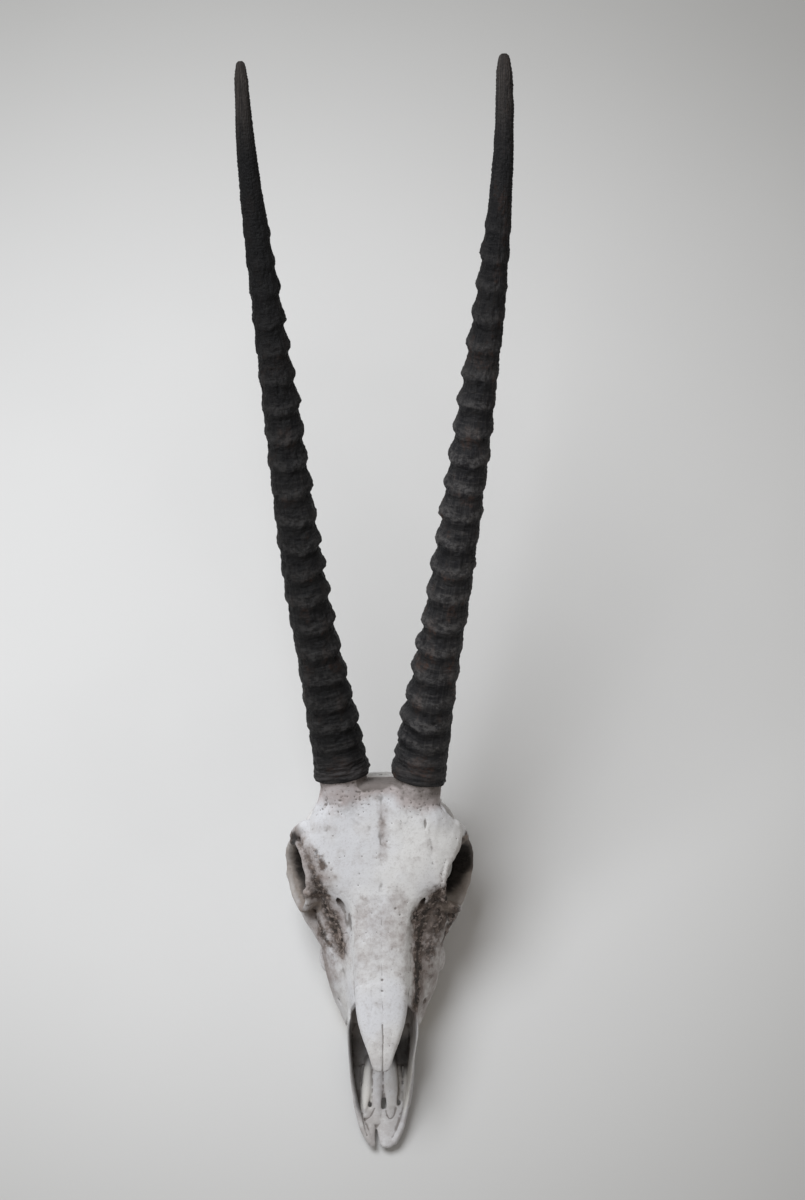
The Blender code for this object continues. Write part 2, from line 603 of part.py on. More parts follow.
def horn(name, side, length, splay, rings):
    """One horn: a long ringed cone with a socket for the bone stub."""
    line = horn_line(length, splay)
    crests = ring_crests(length, rings)
    stations = [(0.0, 0.0)]
    for index, crest in enumerate(crests):
        gap = (crests[index + 1] - crest) if index + 1 < len(crests) else RING_STEP + RING_STEP_GROWTH
        strength = 1.0 if index < rings - 4 else (rings - index) / 5
        stations.append((crest, RING_CREST * strength))
        stations.append((crest + gap * 0.25, RING_SHOULDER * strength))
        stations.append((crest + gap * 0.72, RING_VALLEY * strength))
    last = stations[-1][0]
    stations += [(last + (length - last) * (step + 1) / TIP_STEPS, 0.0) for step in range(TIP_STEPS - 1)]
    stations += [(length * 0.985, 0.0), (length * 0.998, 0.0)]
    outlines = []
    for along, swell in stations:
        centre, way = line[min(int(along), len(line) - 1)]
        across = way.cross(Vector((0, 0, 1))).normalized()
        over = across.cross(way)
        radius = HORN_RADIUS * taper(along / length)
        lean = RING_LEAN * radius * min(1.0, along / 40) * min(1.0, max(0.0, (length - along) / 120))
        ring = []
        for step in range(HORN_SIDES):
            angle = math.tau * step / HORN_SIDES
            inner = 0.5 - 0.5 * math.cos(angle)
            size = radius * (1 + swell * (0.5 + 0.9 * inner))
            point = centre + across * size * math.cos(angle) + over * size * math.sin(angle)
            point -= way * lean * math.sin(angle)
            ring.append(place(point.x * side, point.y, point.z))
        outlines.append(ring)
    made = loft(name, outlines, bpy.context.scene.collection, helper=False)
    socket = new_collection(f"{name}_socket")
    axis = pedicle_axis()
    radii = [radius + FIT_GAP for radius in CORE_RADII]
    start, end = HORN_BASE - axis * 5, HORN_BASE + axis * (CORE_LENGTH + FIT_GAP)
    slope = (radii[1] - radii[0]) / (CORE_LENGTH + FIT_GAP)
    cone(f"{name}_hollow", start, end, (radii[0] - slope * 5, radii[1]), socket, side)
    cut = made.modifiers.new("socket", "BOOLEAN")
    cut.operation, cut.operand_type, cut.collection = "DIFFERENCE", "COLLECTION", socket
    return made


def main():
    clear_scene()
    frame = bpy.data.objects.new("gemsbok_skull", None)
    bpy.context.scene.collection.objects.link(frame)
    settle(skull(), Vector(), frame, "bone")
    for name, side in SIDES.items():
        base = place(HORN_BASE.x * side, HORN_BASE.y, HORN_BASE.z)
        settle(horn(f"horn_{name}", side, **HORNS[name]), base, frame, "horn")
        for kind, middle, length, width, across in row_places():
            made = tooth(kind, middle, length, width, across, side)
            made.name = f"{kind}_{name}"
            settle(made, place(across * side, middle, 0), frame, "tooth")


main()
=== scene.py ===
"""The looks of the gemsbok skull: finely modelled bone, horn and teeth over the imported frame.

As in the CAD, a place on the skull is (x, d, z) in millimetres: x across from the midline, with the
animal's left positive, d back from the snout tip, and z up from the floor. place() turns it into the
frame's metres.
"""

import json
import math

import bmesh
import bpy
import numpy as np
from mathutils import Matrix, Vector, kdtree
from mathutils.bvhtree import BVHTree

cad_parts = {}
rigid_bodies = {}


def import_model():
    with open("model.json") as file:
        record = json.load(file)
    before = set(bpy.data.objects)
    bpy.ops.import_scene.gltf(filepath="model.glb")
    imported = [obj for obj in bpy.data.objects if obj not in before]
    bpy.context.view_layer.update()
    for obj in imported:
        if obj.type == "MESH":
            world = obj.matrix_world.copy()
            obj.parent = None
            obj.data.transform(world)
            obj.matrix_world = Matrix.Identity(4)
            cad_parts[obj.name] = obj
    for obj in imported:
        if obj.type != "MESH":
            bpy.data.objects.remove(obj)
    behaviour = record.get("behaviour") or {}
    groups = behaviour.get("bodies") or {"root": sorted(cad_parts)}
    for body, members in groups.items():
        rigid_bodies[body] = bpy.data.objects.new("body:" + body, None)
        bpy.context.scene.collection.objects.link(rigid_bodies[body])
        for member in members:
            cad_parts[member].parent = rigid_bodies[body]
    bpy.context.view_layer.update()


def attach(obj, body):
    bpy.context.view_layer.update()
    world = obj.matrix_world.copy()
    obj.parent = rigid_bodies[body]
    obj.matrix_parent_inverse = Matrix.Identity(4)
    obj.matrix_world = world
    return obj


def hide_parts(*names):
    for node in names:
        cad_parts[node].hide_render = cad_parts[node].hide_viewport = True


MM = 0.001
SNOUT_TO_ORIGIN = 404.4
MIDLINE_TO_ORIGIN = 0.8
ORIGIN = np.array([-MIDLINE_TO_ORIGIN, SNOUT_TO_ORIGIN, 0.0])
SIDES = {"left": 1.0, "right": -1.0}
UP, DOWN, BACK = Vector((0, 0, 1)), Vector((0, 0, -1)), Vector((0, 1, 0))

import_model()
scene = bpy.context.scene


def place(x, d, z):
    """The point in metres, in the frame, of a place on the skull."""
    return Vector((x + MIDLINE_TO_ORIGIN, d - SNOUT_TO_ORIGIN, z)) * MM


def to_frame(places):
    """The same for an array of places."""
    return (places - ORIGIN) * MM


def to_skull(points):
    """The same the other way, for an array of points."""
    return points / MM + ORIGIN


# Noise


def lattice(cell, seed):
    """A repeatable value from -1 to 1 for each whole-number cell."""
    mixed = cell[:, 0] * 374761393 + cell[:, 1] * 668265263 + cell[:, 2] * 1440662683 + seed * 974634777
    mixed = (mixed ^ (mixed >> 13)) * 1274126177
    mixed = (mixed ^ (mixed >> 16)) & 0xFFFFFF
    return mixed / 0x7FFFFF - 1.0


def noise(points, size, seed=0):
    """Smooth noise from -1 to 1 at an array of points, with lumps about this size."""
    scaled = np.asarray(points, dtype=float) / size
    cell = np.floor(scaled).astype(np.int64)
    part = scaled - cell
    part = part * part * (3 - 2 * part)
    total = np.zeros(len(scaled))
    for corner in range(8):
        step = np.array([(corner >> axis) & 1 for axis in range(3)])
        share = np.prod(np.where(step, part, 1 - part), axis=1)
        total += share * lattice(cell + step, seed)
    return total


def layered(points, size, layers, seed=0):
    """Noise in layers, each half the size and half the strength of the one before."""
    return sum(noise(points, size / 2**i, seed + i) / 2**i for i in range(layers))


def fade(value, low, high):
    """0 below low, 1 above high and smooth between."""
    t = np.clip((value - low) / (high - low), 0.0, 1.0)
    return t * t * (3 - 2 * t)


def band(value, low, start, end, high):
    """1 from start to end, fading to 0 at low and at high."""
    return fade(value, low, start) * (1 - fade(value, end, high))


def bell(value, width):
    """1 at 0, falling off either way in a bell of this width."""
    return np.exp(-((value / width) ** 2))


# Forms that are joined into the skull

STEPS_BETWEEN = 5
BAR_SIDES = 20
CONE_SIDES = 40
# How a bar's ends are rounded: shifts along it and sizes
BAR_START = ((-0.85, 0.45), (-0.5, 0.8), (0.0, 1.0))
BAR_END = ((0.0, 1.0), (0.5, 0.8), (0.85, 0.45))


def blend_points(p0, p1, p2, p3, t):
    """A Catmull-Rom point between p1 and p2."""
    return [
        0.5 * (2 * b + (c - a) * t + (2 * a - 5 * b + 4 * c - d) * t**2 + (3 * b - a - 3 * c + d) * t**3)
        for a, b, c, d in zip(p0, p1, p2, p3)
    ]


def smooth_path(points, steps, closed=False):
    """Points read from a smooth curve through the given ones, each a list of numbers."""
    count = len(points)
    spans = count if closed else count - 1
    pick = (lambda i: points[i % count]) if closed else (lambda i: points[min(max(i, 0), count - 1)])
    made = []
    for span in range(spans):
        corners = [pick(span + offset) for offset in (-1, 0, 1, 2)]
        made += [blend_points(*corners, step / steps) for step in range(steps)]
    return made if closed else made + [list(points[-1])]


def new_collection(name):
    """An empty collection in the scene."""
    made = bpy.data.collections.new(name)
    scene.collection.children.link(made)
    return made


def add_object(name, data, collection=None):
    """An object with this data, in the collection or else straight in the scene."""
    made = bpy.data.objects.new(name, data)
    (collection or scene.collection).objects.link(made)
    return made


def mesh_object(name, solid, collection):
    """An object from a bmesh, with its faces pointing out."""
    bmesh.ops.recalc_face_normals(solid, faces=solid.faces)
    if solid.calc_volume(signed=True) < 0:
        bmesh.ops.reverse_faces(solid, faces=solid.faces)
    data = bpy.data.meshes.new(name)
    solid.to_mesh(data)
    solid.free()
    return add_object(name, data, collection)


def loft(name, rings, collection, closed=False):
    """A solid through rings of points, with a fan over each end unless the last ring meets the first."""
    solid = bmesh.new()
    loops = [[solid.verts.new(point) for point in ring] for ring in rings]
    count = len(rings[0])
    pairs = list(zip(loops, loops[1:])) + ([(loops[-1], loops[0])] if closed else [])
    for first, second in pairs:
        for i in range(count):
            j = (i + 1) % count
            solid.faces.new((first[i], first[j], second[j], second[i]))
    if not closed:
        for end in (loops[0], loops[-1]):
            middle = solid.verts.new(sum((v.co for v in end), Vector()) / count)
            for i in range(count):
                solid.faces.new((end[i], end[(i + 1) % count], middle))
    return mesh_object(name, solid, collection)


def section_loft(name, sections, collection):
    """A loft along the skull. Each section is d and its right half's outline, from the top to the bottom."""
    rows = []
    for d, half in sections:
        outline = list(half) + [(-x, z) for x, z in reversed(half[1:-1])]
        rows.append([d] + [value for point in outline for value in point])
    rings = []
    for d, *flat in smooth_path(rows, STEPS_BETWEEN):
        outline = [flat[i : i + 2] for i in range(0, len(flat), 2)]
        rings.append([place(x, d, z) for x, z in smooth_path(outline, 3, closed=True)])
    return loft(name, rings, collection)


def oval(centre, across, over, count, side):
    """A ring of places. across and over are its half-widths; side mirrors it."""
    ring = []
    for step in range(count):
        angle = math.tau * step / count
        point = centre + across * math.cos(angle) + over * math.sin(angle)
        ring.append(place(point.x * side, point.y, point.z))
    return ring


def bar(name, path, collection, side, up):
    """A rounded bar. Each point of the path is x, d, z and its half-thickness sideways and upwards."""
    rows = smooth_path([list(point) for point in path], STEPS_BETWEEN)
    centres = [Vector(row[:3]) for row in rows]
    last = len(rows) - 1
    rings = []
    for index, (centre, row) in enumerate(zip(centres, rows)):
        along = (centres[min(index + 1, last)] - centres[max(index - 1, 0)]).normalized()
        across = along.cross(up).normalized()
        over = across.cross(along)
        wide, high = row[3:]
        for shift, scale in {0: BAR_START, last: BAR_END}.get(index, ((0.0, 1.0),)):
            middle = centre + along * shift * min(wide, high)
            rings.append(oval(middle, across * wide * scale, over * high * scale, BAR_SIDES, side))
    loft(name, rings, collection)


def cone(name, start, end, radii, collection, side):
    """A straight round bar from start to end, with flat ends."""
    along = (end - start).normalized()
    across = along.cross(UP).normalized()
    over = across.cross(along)
    ends = zip((start, end), radii)
    rings = [oval(centre, across * radius, over * radius, CONE_SIDES, side) for centre, radius in ends]
    loft(name, rings, collection)


def egg(name, collection, side, centre, radii, lean=0.0):
    """An egg shape that may lean back in the plane of the midline, by degrees."""
    solid = bmesh.new()
    bmesh.ops.create_uvsphere(solid, u_segments=32, v_segments=18, radius=1.0)
    turn = math.radians(lean)
    for vertex in solid.verts:
        x, d, z = (vertex.co[i] * radii[i] for i in range(3))
        d, z = d * math.cos(turn) - z * math.sin(turn), d * math.sin(turn) + z * math.cos(turn)
        vertex.co = place((x + centre[0]) * side, d + centre[1], z + centre[2])
    mesh_object(name, solid, collection)


def add_shapes(table, collection, side=1.0):
    """The table's bars, each with its upward direction and its path, and its eggs."""
    for name, up, *places in table:
        if up is EGG:
            egg(name, collection, side, *places)
        else:
            bar(name, places, collection, side, up)


# The outer form of the face and the braincase: at each distance from the snout tip, the right half's outline
FACE_SECTIONS = (
    (111, ((0, 92), (10, 91.5), (18, 89), (23.5, 81), (26.5, 69), (29.5, 50), (32.5, 34), (32.5, 18),
         (20, 13.5), (12, 16), (0, 18))),
    (125, ((0, 96), (11, 95.5), (19.5, 92), (25, 83), (30.5, 68), (36.5, 50), (38.5, 30), (36.5, 14.5),
         (20, 14), (13, 21), (0, 23))),
    (145, ((0, 102), (12, 101.5), (21, 97.5), (26, 88), (34, 73), (46, 56), (48, 34), (43, 14.5),
         (20, 14.5), (13, 22), (0, 25))),
    (165, ((0, 108.5), (13, 108), (22.5, 103.5), (27, 93.5), (36, 81), (51, 64), (52, 38), (46, 14.5),
         (20, 14.5), (13, 23), (0, 26.5))),
    (185, ((0, 115), (15, 114.5), (26, 109.5), (30.5, 100), (42, 90), (56, 75), (54, 40), (47, 14.5),
         (20, 14.5), (13, 23), (0, 27))),
    (200, ((0, 121), (19, 120.5), (35, 117), (45, 109), (52, 98), (59, 82), (52, 42), (46, 14.5),
         (20, 14.5), (13, 24), (0, 28))),
    (210, ((0, 125.5), (22, 125), (41, 122), (56, 116), (59, 104), (58, 84), (48, 46), (45, 14),
         (19, 14), (12, 25), (0, 29))),
    (222, ((0, 130.5), (23, 130.5), (44, 127.5), (61, 120), (62, 108), (54, 84), (44, 50), (43, 15.5),
         (19, 15), (12, 27), (0, 32))),
    (233, ((0, 135.5), (23, 135.5), (46, 132.5), (65, 123.5), (64, 110), (46, 88), (33, 60), (25, 44),
         (18, 38), (11, 40), (0, 44))),
    (247, ((0, 141.5), (23, 142), (48, 139), (69, 126), (67, 112), (44, 92), (33, 74), (27, 60),
         (19, 50), (11, 48), (0, 50))),
    (261, ((0, 148), (23, 148.5), (49, 146), (70, 123), (64, 111), (44, 96), (38, 78), (30, 62),
         (20, 54), (10, 52), (0, 53))),
    (274, ((0, 154), (21, 155.5), (42, 151), (54, 130), (50, 112), (46, 94), (42, 76), (32, 60),
         (20, 52), (10, 49), (0, 50))),
    (286, ((0, 159), (18, 159.5), (34, 149), (46, 128), (48, 108), (47, 90), (42, 72), (32, 56),
         (20, 47), (10, 45), (0, 46))),
    (298, ((0, 142), (16, 142), (30, 135), (42, 118), (46, 102), (45, 84), (40, 66), (30, 50), (18, 42),
         (9, 41), (0, 41))),
    (309, ((0, 121), (14, 120), (26, 115), (37, 105), (42, 94), (41, 78), (36, 62), (28, 48), (17, 40),
         (9, 38), (0, 38))),
    (317, ((0, 105), (12, 104), (22, 100), (32, 92), (36, 84), (35, 72), (30, 58), (24, 46), (16, 40),
         (8, 39), (0, 39))),
    (325, ((0, 93), (9, 92), (18, 88), (26, 82), (29, 72), (28, 62), (24, 52), (19, 44), (13, 40),
         (7, 40), (0, 41))),
)

NOSE_SECTIONS = (
    (84, ((0, 80), (10, 79), (16, 76), (20, 70), (23, 60), (24.5, 48), (25.5, 34), (22, 22), (16, 21),
         (8, 21), (0, 21))),
    (104, ((0, 86), (10, 85), (16, 82), (20, 76), (23, 64), (25.5, 48), (26.5, 36), (24, 26), (16, 23),
         (8, 23), (0, 23))),
    (125, ((0, 92), (10, 91), (17, 87), (21, 80), (26, 66), (31, 52), (32, 42), (26, 34), (16, 29),
         (8, 28), (0, 28))),
    (150, ((0, 99.5), (11, 99), (18, 95), (23, 86), (30, 70), (39, 57), (41, 46), (32, 38), (18, 33),
         (8, 31), (0, 31))),
    (175, ((0, 105), (10, 104), (18, 99), (23, 90), (31, 76), (40, 64), (42, 52), (32, 42), (18, 36),
         (8, 34), (0, 34))),
    (192, ((0, 96), (6, 95), (10, 92), (14, 86), (18, 78), (20, 68), (19, 58), (16, 50), (11, 44),
         (6, 41), (0, 40))),
)

# Under and beside the face: bars with their upward direction and path, whose points are x, d, z and the
# half-thickness sideways and upwards, and eggs with their centre, radii and lean
EGG = "egg"
SNOUT_WALL = (
    (6, 10.5, 9, 3.0, 3.5), (18, 17, 10.5, 3.0, 4.5), (36, 22.5, 14, 2.2, 7.0), (56, 26.2, 20, 1.8, 10.0),
    (76, 28.3, 28, 1.7, 14.0), (95, 29.2, 38, 1.9, 20.0), (110, 28, 42, 2.5, 18.0), (126, 28, 46, 3.0, 20.0),
)
SNOUT_SHELF = (
    "snout_shelf", UP, (15.5, 28, 9.5, 5.5, 2.6), (21.0, 44, 9.0, 4.6, 2.4), (23.2, 62, 10.5, 4.6, 2.6),
    (23.5, 80, 13, 5.4, 3.0), (22.5, 98, 17.5, 8.0, 4.3), (23.5, 116, 21, 9.5, 5.5),
)
SNOUT_FLOOR = (
    "snout_floor", UP, (20, 78, 14.5, 8.0, 2.6), (19, 94, 15.5, 11.0, 3.0), (17, 112, 17, 13.0, 4.0),
)
SNOUT_FORMS = {
    1.0: (
        ("snout_body", UP, (3.2, 3.5, 8, 6.0, 3.0), (4.6, 14, 8.5, 9.4, 3.3), (6.4, 25, 9, 11.6, 3.3),
         (9.5, 33, 9.5, 10.2, 2.8), (10.5, 38, 9.8, 7.6, 2.2)),
        ("palate_leaf", UP, (8.0, 38, 11.5, 4.6, 2.0), (7.9, 52, 12.8, 6.2, 2.6), (7.5, 66, 14.2, 6.0, 2.8),
         (7.0, 84, 17.0, 5.0, 3.0)),
        SNOUT_SHELF,
        ("web_middle", UP, (1.0, 47, 9.8, 1.4, 1.2), (0.8, 60, 11.4, 2.0, 1.3), (0.5, 80, 14.4, 2.2, 1.5)),
        ("web_left", UP, (14.6, 45, 8.6, 2.0, 1.2), (14.8, 60, 10.6, 2.8, 1.3), (14, 80, 13.6, 3.2, 1.6)),
        SNOUT_FLOOR,
    ),
    -1.0: (
        ("snout_body", UP, (8.8, 3.8, 8, 2.6, 3.0), (10.4, 14, 8.5, 3.8, 3.3), (11.6, 25, 9, 5.8, 3.3),
         (13, 32, 9.5, 6.6, 2.8), (14.2, 36.5, 9.8, 3.8, 2.2)),
        ("palate_leaf", UP, (16.0, 33, 11.5, 1.1, 2.0), (15.0, 47, 12.8, 4.1, 2.6),
         (14.2, 62, 14.2, 3.9, 2.8), (12.6, 80, 17.0, 3.0, 3.0)),
        SNOUT_SHELF,
        ("palatine_bar", UP, (6.3, 24, 9.5, 5.0, 2.6), (5.4, 40, 10.5, 4.5, 2.6), (4.7, 60, 12.5, 4.5, 2.8),
         (4.6, 80, 15, 4.4, 3.0), (4.6, 108, 20, 4.4, 4.0)),
        ("web_right", UP, (10.2, 43, 9.6, 1.6, 1.2), (10, 58, 11.4, 2.2, 1.3), (9.4, 80, 14.4, 2.4, 1.5)),
        SNOUT_FLOOR,
    ),
}
CHEEK_BARS = (
    ("cheek_arch", UP, (40, 160, 56, 8, 9), (50, 182, 60, 8, 10), (62, 204, 60, 9, 9),
     (71, 224, 58.5, 7.5, 7), (75, 244, 60, 4.6, 8.5), (72.5, 262, 67, 3.6, 8.5), (67, 278, 73, 3.6, 6.5),
     (57, 292, 77, 6, 5.5), (42, 300, 78, 8, 7)),
    ("behind_eye", BACK, (73, 256, 70, 4.2, 7), (77, 258, 88, 3.6, 6.2), (75.5, 259, 106, 4.0, 6.8),
     (66, 260, 124, 7, 7)),
    ("cheek_line", UP, (46, 168, 62, 3, 3), (52, 186, 66, 3, 3), (61, 204, 68, 3, 3)),
)
CHEEK_KNOB = ("cheek_knob", EGG, (50.5, 168, 40), (6, 13, 7))
TEAR_FORMS = {
    1.0: ("tear_tissue", EGG, (64.5, 206.5, 85.0), (11, 12.5, 16)),
    -1.0: ("tear_knob", EGG, (65.0, 203.5, 110.0), (4.6, 4.6, 4.2)),
}
HORN_FOOT = (
    "horn_foot", UP, (46.5, 293, 146, 6, 5), (48, 286, 143, 6, 6), (50, 277, 140, 6, 6), (54, 270, 136, 6, 6),
    (58, 260, 130, 6, 5),
)
BASE_FORMS = (
    ("palate_wing", UP, (15, 208, 34, 2.6, 14), (14.5, 228, 39, 2.0, 15), (14, 246, 44, 1.8, 14),
     (13.5, 262, 46, 2.2, 15)),
    ("palate_hook", BACK, (13.5, 250, 36, 2.0, 4.5), (14.5, 256, 29, 1.8, 3.4), (15.5, 260, 24, 1.6, 2.4)),
    ("ear_bulb", EGG, (26, 297, 43), (9, 15, 14), 20),
    ("ear", UP, (30, 300, 58, 7, 7), (42, 303, 64, 6.5, 6.5), (50, 305, 67, 5.5, 5.5)),
    ("neck_prong", BACK, (37, 307, 78, 9, 12), (40, 314, 58, 6.2, 12), (40.5, 320, 36, 4.4, 9.5),
     (39.5, 324, 14, 3.6, 7.0), (38.5, 325.5, 4.0, 3.4, 5.4)),
    ("neck_joint", BACK, (6, 320, 38, 6, 7), (13.5, 328, 42, 8, 9), (20, 331, 53, 8.5, 9.5),
     (19.5, 325, 66, 6.5, 7.5)),
    ("nape_crest", BACK, (0, 315.5, 107.5, 3, 3), (14, 314.5, 106, 3, 3), (28, 313, 96, 3, 3),
     (38, 311, 83, 3.5, 3.5), (41, 310, 70, 4, 4)),
    ("nape_ridge", BACK, (0, 312, 104, 2.4, 3), (0, 318, 92, 2.0, 3), (0, 322, 82, 2.0, 3)),
    ("temple_line", UP, (56, 268, 136, 2.2, 2.2), (47, 284, 132, 2.2, 2.2), (42, 297, 118, 2.2, 2.2),
     (40, 307, 101, 2.4, 2.4)),
    ("jaw_seat", UP, (62, 270, 70, 3, 6), (55, 284, 76, 8, 5), (44, 296, 78, 9, 6)),
)
SIDE_HOLLOWS = (
    ("temple_gap", EGG, (55, 264, 90), (12.5, 20, 23)),
    ("under_eye_gap", EGG, (50, 246, 68), (13, 17, 20)),
    ("tear_gap", UP, (38, 200, 108, 2.2, 3.5), (34, 188, 104.5, 2.8, 5.5), (31.5, 174, 98.5, 2.8, 6),
     (30.5, 160, 92, 2.0, 4)),
    ("cheek_hole", UP, (30, 132, 44, 3, 3), (48, 118, 40, 3.4, 3.4)),
)
BROW_HOLES = {
    1.0: ("brow_hole", UP, (38.5, 252.5, 148, 0.9, 1.6), (39.5, 260.5, 139, 1.0, 1.5)),
    -1.0: ("brow_hole", UP, (44.5, 263.0, 148, 0.9, 1.6), (45.5, 271.0, 139, 1.0, 1.5)),
}
EAR_HOLE = ("ear_hole", UP, (36, 302, 61, 2.6, 2.6), (60, 306, 70, 3.4, 3.4))
MIDDLE_HOLLOWS = (
    ("tip_notch", UP, (1.2, 42, 73, 1.3, 6), (1.3, 50, 76, 1.0, 6), (1.4, 55, 78.5, 0.4, 5)),
    ("throat", UP, (0, 182, 50, 9, 9), (0, 205, 45, 9, 8), (0, 228, 42, 10.5, 9), (0, 250, 38, 10.5, 10),
     (0, 275, 30, 10.5, 10)),
    ("brain_hollow", EGG, (0, 300, 80), (26, 22, 24), -30),
    ("neck_hole", UP, (0, 300, 74, 13, 12), (0, 322, 64, 13, 12), (0, 348, 54, 14, 13)),
)

ORBIT_CENTRES = {1.0: Vector((67.0, 227.0, 92.0)), -1.0: Vector((73.5, 227.0, 92.0))}
ORBIT_AXES = {1.0: Vector((1.0, -0.34, 0.27)).normalized(), -1.0: Vector((1.0, -0.25, 0.22)).normalized()}
ORBIT_RADIUS = 29.0
ORBIT_DEPTH = 46.0
# How far the snout's side walls lean and how far they are pressed inwards
SNOUT_WALL_LEAN = {1.0: (-0.18, 2.5), -1.0: (0.0, 0.0)}
CHEEK_WIDTHS = {1.0: 0.965, -1.0: 1.015}
# How far across the walls stand at some distances from the snout tip
WALL_PLACES = ((6, 18, 36, 56, 76, 95, 110), (10.5, 17, 22.5, 26.2, 28.3, 29.2, 29))
# How deep in the left eye socket the painted dark shade begins, by how far back on its wall: from front to
# back
LEFT_EYE_SHADE = ((-0.8, -0.45, -0.1, 0.3, 0.6), (14.0, 6.0, 2.5, 1.2, -3.4))

HORN_BASE = Vector((33.5, 296.0, 150.0))
HORN_RADIUS = 24.5
HORN_BACK_ANGLES = (40.0, 33.0)
HORNS = {
    "left": {"length": 643.0, "splay": (8.8, 9.9, 8.2, 7.6, 4.6, -1.0), "tip_width": 1.08},
    "right": {"length": 638.0, "splay": (9.4, 10.2, 6.6, 7.2, 6.6, 2.0), "tip_width": 0.92},
}
# The horns' lightness, the darkness of their upper half and the lightness of their foot
HORN_TONES = {"left": (1.3, 0.6, 0.7), "right": (0.55, 0.85, 1.0)}
# How far up the bone the sheaths start
HORN_STARTS = {1.0: 0.0, -1.0: 3.2}
PEDICLE_SPLAY = 9.3
PEDICLE_RADIUS = 20.5
SHEATH_RECESS = 4.0

# Name, length, width and middle across
TEETH = (
    ("premolar_2", 13.0, 11.0, 27.0),
    ("premolar_3", 15.0, 14.0, 29.0),
    ("premolar_4", 14.0, 16.0, 31.0),
    ("molar_1", 19.0, 18.5, 33.0),
    ("molar_2", 23.0, 20.0, 33.5),
    ("molar_3", 23.0, 19.0, 32.0),
)
TOOTH_ROW_START = 113.0
TOOTH_HEIGHT = 25.0

VOXEL = 0.85
BONE_FACES = 194000
SIGHT_REACH = 70
SIGHT_LINES = 36


def nasal_bones(forms):
    """The two long bones over the nose. Each row is d, half the width, the top's height and its drop."""
    rows = (
        (49, 4.4, 75.6, 2.2), (50.8, 7.0, 76.6, 3.0), (55, 9.0, 78.5, 4.0), (61, 10.8, 80.8, 5.0),
        (67, 12.6, 82.4, 6.0), (78, 16.5, 85.0, 8.0), (90, 20.0, 87.8, 9.5), (104, 22.6, 90.8, 11.0),
        (122, 24.0, 95.5, 12.0),
    )
    sections = []
    for d, wide, top, drop in rows:
        under = top - 4.0
        half = ((0, top), (wide * 0.5, top - 0.6), (wide * 0.85, top - drop * 0.3), (wide, top - drop * 0.75),
                (wide - 0.6, top - drop - 1.0), (wide - 2.8, top - drop), (wide * 0.7, under - drop * 0.25),
                (wide * 0.35, under), (0, under))
        sections.append((d, half))
    section_loft("nasal_bones", sections, forms)


def pressed(d):
    """How much of its inward press the snout's wall has at each distance from the tip."""
    return np.clip(np.minimum(d / 50, (108 - d) / 30), 0, 1)


def snout(side, forms):
    """The side wall of the snout, the body at its tip and what spans its floor."""
    lean, inwards = SNOUT_WALL_LEAN[side]
    path = [(x - inwards * pressed(d), d, z, wide, high) for d, x, z, wide, high in SNOUT_WALL]
    bar("snout_wall", path, forms, side, Vector((-lean, 0, 1)))
    add_shapes(SNOUT_FORMS[side], forms, side)


def orbit(side, forms):
    """The cup of the eye socket and the round rim of its mouth."""
    centre, axis = ORBIT_CENTRES[side], ORBIT_AXES[side]
    cone("eye_cup", centre - axis * 40, centre + axis * 1.5, (27.0, ORBIT_RADIUS + 4.5), forms, side)
    across = axis.cross(UP).normalized()
    over = across.cross(axis)
    around, about, thick = 48, 14, 2.8
    rings = []
    for step in range(around):
        angle = math.tau * step / around
        out = across * math.cos(angle) + over * math.sin(angle)
        ring = []
        for turn in range(about):
            lean = math.tau * turn / about
            swell = thick * math.cos(lean)
            point = centre + out * (ORBIT_RADIUS + 1.8 + swell) + axis * thick * math.sin(lean)
            ring.append(place(point.x * side, point.y, point.z))
        rings.append(ring)
    loft("eye_rim", rings, forms, closed=True)


def cheek(side, forms):
    """The arch under the eye, the bar behind it and the small forms in front of it."""
    for name, up, *path in CHEEK_BARS:
        bar(name, [(x * CHEEK_WIDTHS[side], *rest) for x, *rest in path], forms, side, up)
    add_shapes((CHEEK_KNOB, TEAR_FORMS[side]), forms, side)


def pedicle_axis():
    """The way the bony foot of the left horn points."""
    splay, back = math.radians(PEDICLE_SPLAY), math.radians(HORN_BACK_ANGLES[0])
    return Vector((math.sin(splay), math.cos(splay) * math.cos(back), math.cos(splay) * math.sin(back)))


def skull_base(side, forms):
    """The bony foot of the horn, and the forms under and behind the braincase."""
    axis = pedicle_axis()
    end = HORN_BASE + axis * (SHEATH_RECESS + HORN_STARTS[side])
    cone("pedicle", HORN_BASE - axis * 34, end, (22.0, PEDICLE_RADIUS), forms, side)
    if side < 0:
        add_shapes((HORN_FOOT,), forms, side)
    add_shapes(BASE_FORMS, forms, side)


def hollows(side, cutters):
    """What is cut from one side: the eye socket, gaps and holes, and the teeth's sockets."""
    centre, axis = ORBIT_CENTRES[side], ORBIT_AXES[side]
    ends = centre - axis * ORBIT_DEPTH, centre + axis * 12
    cone("eye_hollow", *ends, (13.0, ORBIT_RADIUS + 2.0), cutters, side)
    add_shapes((*SIDE_HOLLOWS, BROW_HOLES[side], EAR_HOLE), cutters, side)
    for name, middle, length, width, across in row_places():
        outline = [(x * (width / 2 + 0.7), d * (length / 2 + 0.5)) for x, d in tooth_outline(name, 48)]
        levels = (-5.0, TOOTH_HEIGHT + 0.4)
        rings = [[place((across + x) * side, middle + d, z) for x, d in outline] for z in levels]
        loft("socket", rings, cutters)


def row_places():
    """Each tooth of one side: its name, the middle of its length, its length, width and middle across."""
    start = TOOTH_ROW_START
    for name, length, width, across in TEETH:
        yield name, start + length / 2, length - 0.35, width, across
        start += length


